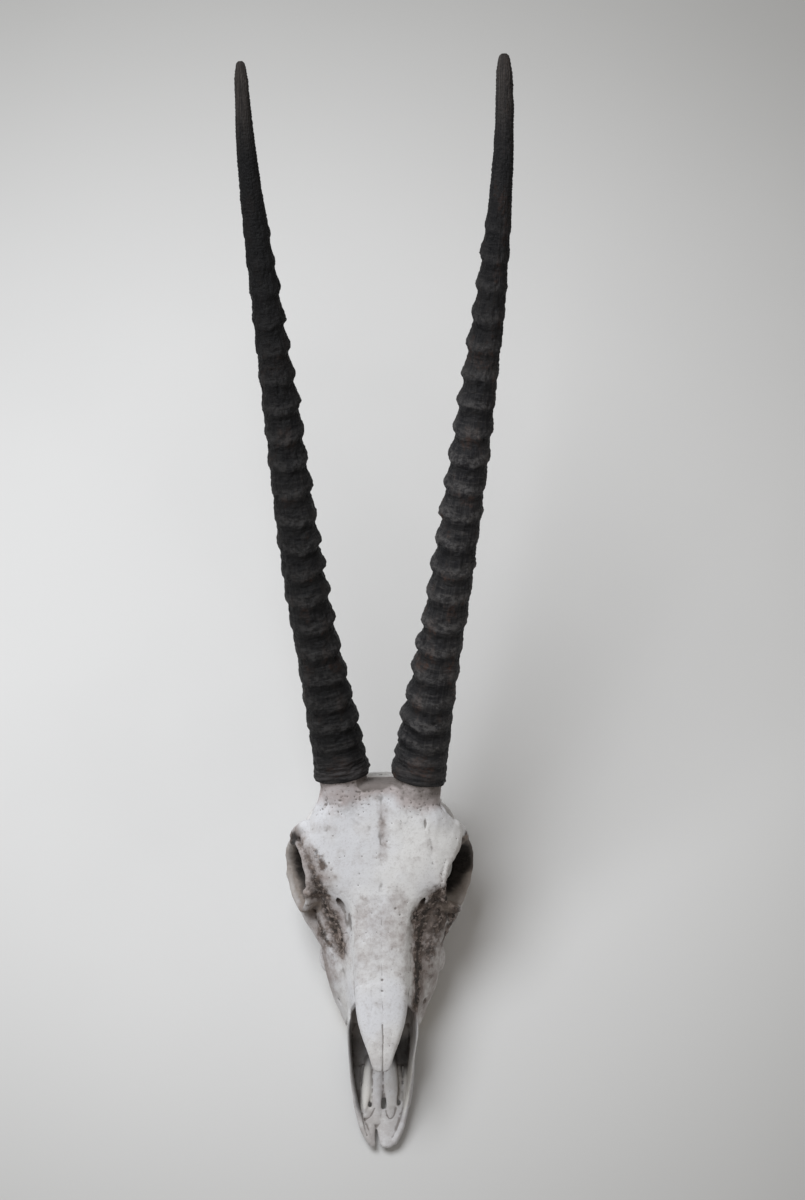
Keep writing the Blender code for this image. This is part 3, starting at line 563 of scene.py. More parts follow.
def tooth_outline(name, count):
    """A tooth's outline on its chewing face, from -1 to 1 each way. x is positive on the cheek side."""
    molar = name.startswith("molar")
    rib_places = (-0.93, 0.0, 0.93) if molar else (-0.9, 0.9)
    fold_places = (-0.48, 0.48) if molar else (-0.1,)
    half = count // 2
    outline = []
    for step in range(half):
        d = -1 + 2 * (step + 0.5) / half
        ribs = sum(0.17 * math.exp(-(((d - at) / 0.12) ** 2)) for at in rib_places)
        ribs += sum(0.07 * math.exp(-(((d - at) / 0.16) ** 2)) for at in fold_places)
        outline.append(((0.82 + ribs) * (1 - 0.22 * abs(d) ** 10), d))
    for step in range(half):
        d = 1 - 2 * (step + 0.5) / half
        lobe = (d - math.copysign(0.5, d)) / 0.5 if molar else d
        outline.append((-(0.28 + 0.7 * math.sqrt(max(0.0, 1 - lobe**2))), d))
    return outline


def evaluated(thing):
    """A new mesh of what the object's modifiers make."""
    graph = bpy.context.evaluated_depsgraph_get()
    return bpy.data.meshes.new_from_object(thing.evaluated_get(graph), depsgraph=graph)


def bare_skull():
    """The skull's forms joined, hollowed and evened out, as a mesh of small faces."""
    forms, cutters = new_collection("bone_forms"), new_collection("bone_hollows")
    body = section_loft("bone_blank", FACE_SECTIONS, scene.collection)
    nasal_bones(forms)
    section_loft("nose_hollow", NOSE_SECTIONS, cutters)
    add_shapes(MIDDLE_HOLLOWS, cutters)
    for side in SIDES.values():
        snout(side, forms)
        orbit(side, forms)
        cheek(side, forms)
        skull_base(side, forms)
        hollows(side, cutters)
    for name, collection, operation in (("join", forms, "UNION"), ("cut", cutters, "DIFFERENCE")):
        step = body.modifiers.new(name, "BOOLEAN")
        step.operation, step.operand_type, step.collection = operation, "COLLECTION", collection
    remesh = body.modifiers.new("even", "REMESH")
    remesh.mode, remesh.voxel_size = "VOXEL", VOXEL * MM
    smooth = body.modifiers.new("soften", "SMOOTH")
    smooth.factor, smooth.iterations = 0.5, 10
    made = evaluated(body)
    for collection in (forms, cutters):
        for thing in list(collection.objects):
            bpy.data.objects.remove(thing, do_unlink=True)
        bpy.data.collections.remove(collection)
    bpy.data.objects.remove(body, do_unlink=True)
    return made


# The skull's surface


def read(mesh, what):
    """Each point's place ("co") or normal ("normal") in a row."""
    values = np.empty(len(mesh.vertices) * 3)
    mesh.vertices.foreach_get(what, values)
    return values.reshape(-1, 3)


def edge_ends(mesh):
    """The two points of every edge."""
    ends = np.empty(len(mesh.edges) * 2, dtype=np.int64)
    mesh.edges.foreach_get("vertices", ends)
    return ends.reshape(-1, 2).T


def store(mesh, name, values):
    """Keeps a number or a vector for each point, where the material can read it."""
    values = np.asarray(values, dtype=np.float32)
    kind, key = ("FLOAT", "value") if values.ndim == 1 else ("FLOAT_VECTOR", "vector")
    mesh.attributes.new(name, kind, "POINT").data.foreach_set(key, values.ravel())


def surface_tree(mesh):
    """The mesh's surface in the form that rays can be sent at."""
    mesh.calc_loop_triangles()
    corners = np.empty(len(mesh.loop_triangles) * 3, dtype=np.int32)
    mesh.loop_triangles.foreach_get("vertices", corners)
    return BVHTree.FromPolygons([Vector(p) for p in read(mesh, "co")], corners.reshape(-1, 3).tolist())


# Seams and cracks, in this order: the way each is looked at, its depth, width, waviness and points
SUTURES = (
    ("top", 0.95, 0.85, 0.3, ((1.2, 46), (1.4, 60), (1.3, 74), (1.0, 88))),
    ("top", 0.22, 0.8, 0.5, ((1.0, 88), (0.7, 110), (0.6, 130), (0.2, 160), (0.5, 180), (0.0, 192))),
    ("top", 0.14, 1.8, 2.2, ((0.0, 200), (0.8, 220), (-0.4, 245), (0.6, 270), (0.0, 284))),
    ("top", 0.26, 0.8, 1.0, ((-24, 158), (-21, 176), (-13, 188), (-5, 194), (0, 190), (5, 196),
         (10.6, 188.5), (17.5, 178.7), (22, 165))),
    ("both sides", 0.3, 0.9, 0.5, ((100, 79), (120, 82), (140, 87), (158, 91))),
    ("both sides", 0.42, 0.9, 1.0, ((66, 14), (82, 30), (96, 47), (108, 62), (118, 77))),
    ("both sides", 0.4, 0.9, 1.6, ((172, 92), (178, 78), (190, 72), (200, 78))),
    ("both sides", 0.4, 0.9, 1.6, ((158, 58), (170, 66), (184, 72), (196, 70))),
    ("both sides", 0.35, 0.9, 1.4, ((252, 62), (262, 67), (274, 72))),
    ("both sides", 0.35, 1.0, 2.2, ((268, 124), (282, 114), (296, 108), (310, 98))),
    ("both sides", 0.35, 1.0, 2.2, ((270, 84), (284, 88), (300, 84), (312, 78))),
    ("back", 0.3, 1.0, 2.0, ((-40, 84), (-26, 78), (-13, 84), (0, 86), (13, 84), (26, 78), (40, 84))),
    ("top", 0.2, 0.7, 2.4, ((-52, 208), (-42, 201), (-32, 198), (-24, 192), (-21, 180))),
    ("top", 0.2, 0.7, 2.4, ((52, 208), (42, 201), (32, 198), (24, 192), (21, 180))),
    ("top", 0.22, 0.6, 0.8, ((-9, 62), (-10.5, 84), (-8.5, 104), (-9, 118))),
    ("top", 0.2, 0.6, 0.8, ((8, 70), (9.5, 90), (8, 102))),
    ("top", 0.22, 0.6, 1.8, ((16, 226), (20, 242), (17, 256))),
    ("both sides", 0.25, 0.6, 0.8, ((46, 12), (60, 16), (74, 24), (88, 35))),
)
# Pits seen from above: x, d, width and depth
PITS = ((0.7, 126.3, 1.4, 1.3), (0.7, 116.9, 1.3, 1.2), (12.5, 186, 1.6, 0.7), (16.5, 181, 1.5, 0.7),
        (-47, 256, 2.4, 0.4), (30, 262, 2.2, 0.4))
# Grooves seen from above, with width and depth: before the brow holes, and at the ends of the palate's leaves
GROOVES = (
    (2.6, 0.5, ((41.5, 250), (43.5, 242), (45.0, 234), (45.4, 224))),
    (2.6, 0.5, ((-45.9, 266), (-46.5, 258), (-48, 250))),
    (1.2, 1.0, ((1.7, 41), (3.2, 32), (6.1, 27), (9.6, 29), (11.9, 36))),
    (1.2, 1.0, ((-15.5, 26), (-11, 29), (-7.4, 36))),
    (1.2, 1.0, ((-18.6, 31), (-16.8, 24), (-15.0, 17), (-13.8, 11))),
)
# The hollows beside the brow holes: x, d, the step back, width and depth
BROW_DENTS = ((39.3, 249, 0.8, 2.0, 1.3), (-45.9, 260, 0.7, 1.8, 0.8))
# From where the lines and pits are laid on the bone: above, behind and beside it
ABOVE, BEHIND, BESIDE = 260, 420, 150


def line_points(bvh, way, points, wave, seed):
    """Places along a line that is laid on the bone, and the way the bone faces there."""
    steps = np.array(smooth_path([list(p) for p in points], 60))
    level = np.full(len(steps), seed * 17.0)
    for axis in (0, 1):
        at = np.c_[steps, level]
        steps[:, axis] += (noise(at, 5.0, seed + axis) + 0.5 * noise(at, 2.2, seed + 7 + axis)) * wave
    for side in {"top": (0,), "back": (0,), "both sides": (1, -1)}[way]:
        for a, b in steps:
            if way == "top":
                start, aim = place(a, b, ABOVE), DOWN
            elif way == "back":
                start, aim = place(a, BEHIND, b), -BACK
            else:
                start, aim = place(BESIDE * side, a, b), Vector((-side, 0, 0))
            hit = bvh.ray_cast(start, aim)
            if hit[0] is not None:
                yield hit[0], hit[1]


def near_path(at, path, radius):
    """1 on a path of places, falling evenly to 0 at the radius."""
    best = np.full(len(at), np.inf)
    for a, b in zip(path, path[1:]):
        a, b = np.array(a, dtype=float), np.array(b, dtype=float)
        share = np.clip(((at - a) @ (b - a)) / ((b - a) @ (b - a)), 0, 1)
        best = np.minimum(best, np.linalg.norm(at - a - share[:, None] * (b - a), axis=1))
    return np.clip(1 - best / radius, 0, 1)


# Dried skin and tissue that clings to the bone, and two strokes of shade painted as dark dried skin on the
# bars behind the eyes: strength, radius and path
SKIN_AND_SHADE = (
    (1.0, 16, ((63, 206, 112), (58, 200, 100), (52, 194, 88))),
    (1.0, 15, ((54, 205, 111), (45, 196, 102), (38, 188, 98), (32, 182, 100))),
    (1.25, 11, ((38, 184, 94), (34, 172, 90), (32.5, 160, 83), (31, 147, 79), (30, 133, 73),
         (30, 118, 64))),
    (1.0, 16, ((66, 212, 94), (66, 203, 90), (58, 192, 80))),
    # These two are shade painted as dark dried skin on the bars behind the eyes
    (1.1, 9, ((-80, 258, 108), (-81, 248, 99))),
    (1.1, 8, ((76, 256, 112), (76, 247, 106))),
    (0.75, 18, ((56, 190, 86), (48, 178, 80), (43, 162, 72))),
    (0.95, 15, ((64, 202, 74), (63, 190, 66), (57, 178, 62))),
    (0.3, 16, ((43, 160, 70), (42, 140, 55), (40, 124, 40))),
    (0.55, 11, ((-75, 254, 116), (-69, 243, 123), (-63.5, 231, 124), (-60, 220, 121), (-58, 212, 117))),
    (1.0, 10, ((-58, 213, 116), (-52, 206, 111), (-49, 202, 107))),
    (0.75, 8, ((-57, 234, 128), (-53, 227, 127), (-52, 222, 126))),
    (0.85, 14, ((-56, 204, 108), (-50, 197, 96), (-43, 185, 90), (-38.5, 173, 84), (-35, 162, 81))),
    (0.7, 14, ((-68, 202, 98), (-62, 192, 78), (-54, 178, 74), (-44, 164, 74))),
)
# Where the bone is soaked brown or grey
SOAK = (
    (1.0, 34, ((60, 203, 100), (50, 190, 92), (40, 176, 86))),
    (1.0, 22, ((36, 176, 88), (33, 150, 78), (31, 116, 62))),
    (0.42, 40, ((54, 182, 70), (46, 154, 55), (40, 124, 34))),
    (0.85, 24, ((-60, 212, 112), (-50, 197, 98), (-42, 182, 88), (-36, 164, 80))),
    (0.6, 34, ((-66, 200, 84), (-56, 180, 68), (-46, 152, 56))),
    (0.75, 22, ((-74, 254, 116), (-64, 231, 122), (-57, 214, 118))),
)
# Shade painted dark on the edge at the back of the right eye socket
RIGHT_RIM_SHADE = ((-77.5, 254, 114), (-80, 245, 108))


def strongest(at, table):
    """The strongest of a table's paths at each point."""
    return np.max([strength * near_path(at, path, radius) for strength, radius, path in table], axis=0)


def near_horns(at, inner, outer):
    """1 by the horns' bases and 0 further than the outer distance."""
    feet = [np.array([HORN_BASE.x * side, HORN_BASE.y, HORN_BASE.z]) for side in SIDES.values()]
    return np.max([1 - fade(np.linalg.norm(at - foot, axis=1), inner, outer) for foot in feet], axis=0)


def about_eye(at, side):
    """How deep each point lies in an eye socket, its distance from the axis and the way out from the axis."""
    away = at * [side, 1, 1] - np.array(ORBIT_CENTRES[side])
    axis = np.array(ORBIT_AXES[side])
    inwards = -(away @ axis)
    outwards = away + inwards[:, None] * axis
    distance = np.linalg.norm(outwards, axis=1)
    return inwards, distance, outwards / np.maximum(distance, 1e-6)[:, None]


def rim_nearness(at, inner, outer):
    """1 on the rims of the eye sockets."""
    total = np.zeros(len(at))
    for side in SIDES.values():
        inwards, distance, _ = about_eye(at, side)
        total = np.maximum(total, 1 - fade(np.hypot(distance - ORBIT_RADIUS - 2, inwards), inner, outer))
    return total


def brow_valley(at, normals):
    """1 along the shallow valley in the middle of the forehead, which is steeper on the animal's right."""
    x, d, _ = at.T
    across = bell(x - 1.0, np.where(x < 1.0, 4.5, 9.0))
    return across * band(d, 214, 232, 266, 280) * (normals[:, 2] > 0.2)


def sculpt(mesh):
    """Gives the even skull its natural unevenness, seams, holes and rough places."""
    points, normals = read(mesh, "co"), read(mesh, "normal")
    at = to_skull(points)
    x, d, z = at.T
    thick = fade(d, 100, 130)
    lift = (0.2 + 0.5 * thick) * noise(at, 27, 1) + (0.1 + 0.25 * thick) * noise(at, 12, 2)
    lift += 0.1 * noise(at, 5, 3) + 0.05 * noise(at, 2.4, 4)
    bvh = surface_tree(mesh)
    tree = kdtree.KDTree(len(points))
    for index, point in enumerate(points):
        tree.insert(point, index)
    tree.balance()
    groove = np.zeros(len(points))

    def dent(point, width, depth, normal):
        for _, index, distance in tree.find_range(point, width * 2.2 * MM):
            if normals[index] @ normal > 0.2:
                value = depth * math.exp(-((distance / (width * MM)) ** 2))
                groove[index] = max(value, groove[index])

    def dent_on_top(px, pd, width, depth):
        hit = bvh.ray_cast(place(px, pd, ABOVE), DOWN)
        if hit[0] is not None:
            dent(hit[0], width, depth, np.array(hit[1]))

    for seed, (way, depth, width, wave, line) in enumerate(SUTURES):
        for point, normal in line_points(bvh, way, line, wave, seed + 5):
            dent(point, width, depth, np.array(normal))
    for pit in PITS:
        dent_on_top(*pit)
    for width, depth, line in GROOVES:
        for px, pd in smooth_path([list(p) for p in line], 14):
            dent_on_top(px, pd, width, depth)
    for px, pd, back, width, depth in BROW_DENTS:
        for step in range(14):
            dent_on_top(px, pd + step * back, width, depth * math.sin(math.pi * (step + 1) / 15))
    lift -= 0.6 * brow_valley(at, normals) * (1 + 0.4 * noise(at, 9, 15))

    rng = np.random.default_rng(7)
    horns = near_horns(at, 25, 42)
    row = (1 - fade(z, 13, 24)) * band(d, 104, 112, 228, 236) * (np.abs(x) > 17) * (np.abs(x) < 52)
    rims = rim_nearness(at, 2, 8)
    rough = np.clip(horns * 0.8 + row * 0.7 + fade(d, 300, 314) * 0.5 + rims * 0.5, 0, 1)
    pitted = fade(layered(at, 3.0, 2, 11), 0.3, 0.8)
    lift += rough * (0.3 * layered(at, 5.5, 3, 21) - 0.6 * pitted)
    lift += rims * 0.7 * noise(at, 7, 25)
    # Pores: where, how many, and their least and greatest widths and depths
    for where, count, widths, depths in (
        ((normals[:, 2] > 0.2) & (horns > 0.15), 150, (0.5, 1.1), (0.3, 0.9)),
        ((d > 40) & (d < 310), 420, (0.4, 0.8), (0.2, 0.7)),
    ):
        for index in rng.choice(np.flatnonzero(where), count, replace=False):
            dent(Vector(points[index]), rng.uniform(*widths), rng.uniform(*depths), normals[index])

    # The roots of the teeth swell the jaw above them
    for name, middle, length, _, across in row_places():
        lobes, reach = ((-0.25, 0.25), 0.2) if name.startswith("molar") else ((0.0,), 0.36)
        for lobe in lobes:
            swell = bell(d - middle - lobe * length, reach * length)
            lift += 0.75 * swell * (1 - fade(z, 14, 34)) * (np.abs(x) > across)

    crust = fade(strongest(at, SKIN_AND_SHADE) + 0.32 * layered(at, 6, 3, 31), 0.3, 0.7)
    lift += crust * (0.25 + 0.7 * layered(at, 4.0, 3, 41))
    mesh.vertices.foreach_set("co", (points + normals * ((lift - groove) * MM)[:, None]).ravel())
    mesh.update()


def averaged(mesh, values, rounds):
    """The values, or rows of values, evened out over the mesh's edges."""
    a, b = edge_ends(mesh)
    size = len(values)
    count = np.maximum(np.bincount(a, minlength=size) + np.bincount(b, minlength=size), 1)
    flat = values.reshape(size, -1).astype(float)
    for _ in range(rounds):
        total = [np.bincount(a, column[b], size) + np.bincount(b, column[a], size) for column in flat.T]
        flat = 0.5 * flat + 0.5 * np.stack(total, axis=1) / count[:, None]
    return flat.reshape(values.shape)


def largest_piece(mesh):
    """The mesh without any shard that isn't joined to its largest piece."""
    a, b = edge_ends(mesh)
    before, label = None, np.arange(len(mesh.vertices))
    while before is None or (label != before).any():
        before, label = label, label.copy()
        least = np.minimum(before[a], before[b])
        np.minimum.at(label, before[a], least)
        np.minimum.at(label, before[b], least)
        label = label[label]
    names, counts = np.unique(label, return_counts=True)
    loose = np.flatnonzero(label != names[counts.argmax()])
    if len(loose):
        solid = bmesh.new()
        solid.from_mesh(mesh)
        solid.verts.ensure_lookup_table()
        bmesh.ops.delete(solid, geom=[solid.verts[i] for i in loose], context="VERTS")
        solid.to_mesh(mesh)
        solid.free()
    return mesh


def fewer_faces(mesh, limit):
    """The same mesh with no more triangles than this."""
    thing = add_object("fewer", mesh)
    mesh.calc_loop_triangles()
    step = thing.modifiers.new("fewer", "DECIMATE")
    step.ratio = min(1.0, limit / len(mesh.loop_triangles))
    made = evaluated(thing)
    bpy.data.objects.remove(thing, do_unlink=True)
    return made


def hollowness(mesh, rounds):
    """How far each point lies below the average of the points around it, in millimetres."""
    points = read(mesh, "co")
    return ((averaged(mesh, points, rounds) - points) * read(mesh, "normal")).sum(axis=1) / MM


def openness(mesh):
    """The share of its surroundings that each point can see."""
    points, normals = read(mesh, "co"), read(mesh, "normal")
    tree = surface_tree(mesh)
    step = np.arange(SIGHT_LINES) + 0.5
    height, turn = 1 - 2 * step / SIGHT_LINES, step * math.pi * (3 - math.sqrt(5))
    level = np.sqrt(1 - height**2)
    ways = np.c_[np.cos(turn) * level, np.sin(turn) * level, height]
    facing = normals @ ways.T
    aims = [Vector(way) for way in ways]
    seen = np.zeros(len(points))
    for index, start in enumerate(points + normals * 0.5 * MM):
        share = facing[index]
        start = Vector(start)
        total = free = 0.0
        for k in np.flatnonzero(share > 0.12):
            total += share[k]
            if tree.ray_cast(start, aims[k], SIGHT_REACH * MM)[0] is None:
                free += share[k]
        seen[index] = free / total if total else 1.0
    return averaged(mesh, seen, 4)


def nose_depth(at):
    """1 where dark shade is painted in the hollow of the nose: between the snout's walls, but for the leaves
    and the bar.
    """
    x, d, z = at.T
    total = np.zeros(len(at))
    low = z < np.interp(d, (40, 60, 80, 100, 125), (40, 58, 66, 76, 86))
    for side, lit, front, strength, edge in (
        (-1, 19.3, 30, 0.66, (-1.8, -0.6)),
        (1, 14.8, 70, 0.92, (2.0, 4.5)),
    ):
        out = x * side
        wall = np.interp(d, *WALL_PLACES) - SNOUT_WALL_LEAN[side][1] * pressed(d)
        beside = fade(out, lit - 0.8, lit + 0.4) * fade(d, front - 8, front + 6)
        dark = fade(wall - out, *edge) * np.maximum(beside, fade(d, 71, 79)) * (out > -1)
        total = np.maximum(total, strength * low * dark)
    return total * (1 - fade(d, 96, 106)) * fade(z, 3.0, 6.0)


def leaf_light(at, normals):
    """1 where light is painted on the leaf of bone in the right half of the snout, less on the bar and the
    other leaf, and on the inner face of the left wall.
    """
    x, d, z = at.T
    top = (z < 24) * fade(normals[:, 2], 0.0, 0.4)
    light = band(-x, 9.0, 10.4, 19.2, 20.4) * (0.75 + 0.25 * fade(-x, 13.0, 16.5))
    other = 0.15 * band(-x, -0.4, 0.6, 9.0, 10.4) + 0.4 * band(x, 0.6, 2.0, 24, 27)
    # Light painted on the inner face of the left wall
    wall = 0.9 * fade(x, 16.5, 20.5) * band(d, 14, 26, 62, 84) * fade(-normals[:, 0], 0.0, 0.4) * (z < 46)
    return np.maximum(top * band(d, 30, 40, 70, 80) * np.maximum(light, other), wall)


def stains(at):
    """The pink-grey stain at the horns' feet and on the saddle between them."""
    x, d, z = at.T
    by_horns = near_horns(at, 21, 44) * np.where(x > 0, 1.0, 0.75)
    saddle = 1.45 * fade(d, 270, 288) * fade(z, 118, 142) * (1 - fade(np.abs(x), 16, 30))
    saddle = saddle * (1 + 0.25 * layered(at, 9, 2, 61))
    return np.maximum(np.maximum(by_horns, saddle), 0.9 * fade(d, 274, 284) * fade(z, 130, 150))


def soak_and_valley_shade(at, normals):
    """Where the bone is soaked, with shade painted along the forehead's valley, and the top of the nose."""
    x, d, _ = at.T
    nose_top = band(d, 112, 140, 192, 206) * (1 - fade(np.abs(x), 20, 30)) * (normals[:, 2] > 0)
    # Shade painted along the forehead's shallow valley
    lightly = np.maximum(0.41 * brow_valley(at, normals), 0.36 * nose_top)
    return np.maximum(strongest(at, SOAK), lightly)


def grimy_and_shaded_sides(at):
    """Grey grime and painted shade on the sides of the face, stronger on the left side, away from the light,
    and painted shade at the tip of the snout.
    """
    x, d, _ = at.T
    side = fade(np.abs(x), 24, 46) * band(d, 60, 120, 190, 230) * np.where(x > 0, 1.0, 0.55)
    return np.clip(side + np.where(x < -8, 0.85, 0.68) * (1 - fade(d, 24, 95)), 0, 1)


def eye_depths(at, normals):
    """The brown shade on the rims and walls of the eye sockets, partly brown colour and partly painted shade,
    and the dark shade painted inside them.
    """
    shade, inside = np.zeros(len(at)), np.zeros(len(at))
    for side in SIDES.values():
        left = side > 0
        inwards, distance, out = about_eye(at, side)
        facing = -(normals * [side, 1, 1] * out).sum(axis=1)
        lower = fade(-out[:, 2], -0.5, 0.1)
        front = fade(-out[:, 1], -0.6, 0.1)
        behind = fade(out[:, 1], 0.2, 0.6)
        turned = facing + (0.28 * behind if left else 0.0)
        reached = inwards < ORBIT_DEPTH + 4
        within = (distance < ORBIT_RADIUS + 4) * reached * fade(turned, -0.2, 0.2)
        within = np.maximum(within, (distance < ORBIT_RADIUS) * fade(inwards, 28, 34) * reached)
        rim = np.maximum(lower, 1 - front if left else 0) * fade(inwards, -9, -3) * (inwards < 12)
        rim = rim * (1 - fade(distance, ORBIT_RADIUS + 4, ORBIT_RADIUS + 9))
        if left:
            tone = 0.38 + 0.62 * behind * fade(inwards, -5, -2)
            start, soft = np.interp(out[:, 1], *LEFT_EYE_SHADE), 3.0
        else:
            tone = 0.3 + 0.55 * fade(inwards, 1.0, 6.0)
            start, soft = 1.0 + 4.5 * lower * front, 4.5
        shade = np.maximum(shade, np.maximum(rim, within * fade(inwards, -1.0, 2.0)) * tone)
        inside = np.maximum(inside, within * fade(inwards, start, start + soft))
    return shade, np.maximum(inside, 0.95 * fade(near_path(at, RIGHT_RIM_SHADE, 8), 0.0, 0.6))


def skull():
    """The bone, with what its material needs to know at each point."""
    mesh = largest_piece(bare_skull())
    sculpt(mesh)
    mesh = fewer_faces(mesh, BONE_FACES)
    normals = read(mesh, "normal")
    at = to_skull(read(mesh, "co"))
    shade, inside = eye_depths(at, normals)
    store(mesh, "hollow", np.clip(hollowness(mesh, 6) * 2.4, -1, 1))
    store(mesh, "wide_hollow", np.clip(hollowness(mesh, 40) * 0.7, -1, 1))
    store(mesh, "open", openness(mesh))
    store(mesh, "skin_and_shade", strongest(at, SKIN_AND_SHADE))
    store(mesh, "soak_and_shade", soak_and_valley_shade(at, normals))
    store(mesh, "stain", stains(at))
    store(mesh, "flank_grime_and_shade", grimy_and_shaded_sides(at))
    # Shade painted in and on the eye sockets, and dark shade painted in the hollow of the nose
    store(mesh, "shade", averaged(mesh, shade, 2))
    store(mesh, "inside", averaged(mesh, np.maximum(inside, nose_depth(at)), 2))
    store(mesh, "leaf", averaged(mesh, leaf_light(at, normals), 2))
    mesh.shade_smooth()
    return add_object("bone", mesh)


# Horns

HORN_SIDES = 144
HORN_STATIONS = 620
RINGS = 22
# The first and last rings are weaker
RING_STRENGTHS = {0: 0.4, 1: 0.55, 2: 0.75, 19: 0.9, 20: 0.75, 21: 0.5}
# How thick the horn is along its length
HORN_TAPER = ((0.0, 1.0), (0.04, 0.92), (0.1, 0.84), (0.2, 0.75), (0.35, 0.71), (0.5, 0.64), (0.62, 0.56),
              (0.74, 0.48), (0.85, 0.385), (0.94, 0.31), (0.975, 0.275), (0.99, 0.22), (0.997, 0.16),
              (1.0, 0.06))


def ringed_object(name, points, count):
    """A closed object through rings of this many places each, with a flat face over each end."""
    starts = range(0, len(points), count)
    faces = [
        (a + i, a + (i + 1) % count, b + (i + 1) % count, b + i)
        for a, b in zip(starts, starts[1:])
        for i in range(count)
    ]
    faces += [tuple(range(a, a + count)) for a in (starts[0], starts[-1])]
    mesh = bpy.data.meshes.new(name)
    mesh.from_pydata(to_frame(points).tolist(), [], faces)
    solid = bmesh.new()
    solid.from_mesh(mesh)
    bmesh.ops.recalc_face_normals(solid, faces=solid.faces)
    solid.to_mesh(mesh)
    solid.free()
    mesh.shade_smooth()
    return add_object(name, mesh)


def horn_line(length, splay):
    """Points 1 mm apart along the middle of a horn, and the way it runs at each."""
    point = HORN_BASE.copy()
    line = []
    count = int(length)
    leans = smooth_path([[value] for value in splay], 50)
    for step in range(count + 1):
        share = step / count
        out = math.radians(leans[round(share * (len(leans) - 1))][0])
        back = math.radians(HORN_BACK_ANGLES[0] + (HORN_BACK_ANGLES[1] - HORN_BACK_ANGLES[0]) * share)
        along = Vector((math.sin(out), math.cos(out) * math.cos(back), math.cos(out) * math.sin(back)))
        line.append((point.copy(), along))
        point += along * (length / count)
    return line


def ring_crests(length):
    """How far up the horn each ring stands: close together at the base, and wider apart above."""
    crests = [8.0]
    for index in range(RINGS - 1):
        crests.append(crests[-1] + 15.0 + 8.5 * min(1.0, index / 5) + 2.5 * index / RINGS)
    return [crest * length / 650.0 for crest in crests]


def horn_relief(run, turn, radius, round_about, length, seed):
    """How far rings and growth lines stand out, and 1 on a ring's crest to -1 in its valley."""
    inner = 0.5 - 0.5 * np.cos(turn)
    lean = 0.35 * radius * np.minimum(1, run / 40) * np.clip((length - run) / 120, 0, 1)
    wobble = 2.2 * noise(round_about * [1, 1, 0.5], 17, seed) + 1.3 * noise(round_about, 7, seed + 1)
    wobble += 1.1 * noise(round_about, 3.5, seed + 12)
    level = run + lean * np.sin(turn) + wobble * np.minimum(1, run / 30)
    crests = ring_crests(length)
    swell, crest_here, valley_here = np.zeros((3, len(run)))
    for index, crest in enumerate(crests):
        strength = RING_STRENGTHS.get(index, 1.0)
        change = 1 + 0.45 * noise(round_about * [1, 1, 0] + [0, 0, index * 40], 13, seed + 2)
        height = strength * change * (0.8 + 2.8 * inner**2.6 + 0.6 * (1 - inner) ** 4) * (radius / 18) ** 0.6
        away = level - crest
        valley = bell(away + 6.5, 3.0)
        swell += height * bell(away, np.where(away > 0, 8.5, 3.6))
        swell -= (0.12 + 0.25 * inner) * strength * valley
        crest_here = np.maximum(crest_here, strength * change * bell(away - 2.5, 5.0))
        valley_here = np.maximum(valley_here, strength * valley)
    collar = 1 - fade(run, 12, 30)
    wave = level + 2.6 * noise(round_about, 12, seed + 3) + 1.6 * noise(round_about, 5, seed + 13)
    swell += collar * (0.35 + 0.3 * noise(round_about, 9, seed + 14)) * np.sin(wave * (math.tau / 5.2))
    smooth_part = fade(run, crests[-1] - 5, crests[-1] + 25)
    growth = np.sin(level * (math.tau / 3.1) + 2.6 * noise(round_about, 7, seed + 4))
    swell += (0.16 + 0.12 * smooth_part) * growth * (1 - collar)
    streaks = noise(round_about * [1, 1, 0.03], 1.6, seed + 5)
    streaks += 0.6 * noise(round_about * [1, 1, 0.06], 3.1, seed + 6)
    swell += streaks * (0.12 + 0.06 * smooth_part) * np.minimum(1, radius / 9)
    lumps = noise(round_about, 8, seed + 7) + 0.8 * noise(round_about, 4, seed + 10)
    lumps += 0.5 * noise(round_about, 2.2, seed + 11)
    swell += 0.65 * lumps * np.minimum(1, radius / 14) * (1 - 0.2 * smooth_part)
    swell -= 0.8 * fade(layered(round_about, 7, 3, seed + 8), 0.6, 1.0) * (1 - smooth_part)
    return swell, np.clip(crest_here - valley_here, -1, 1)


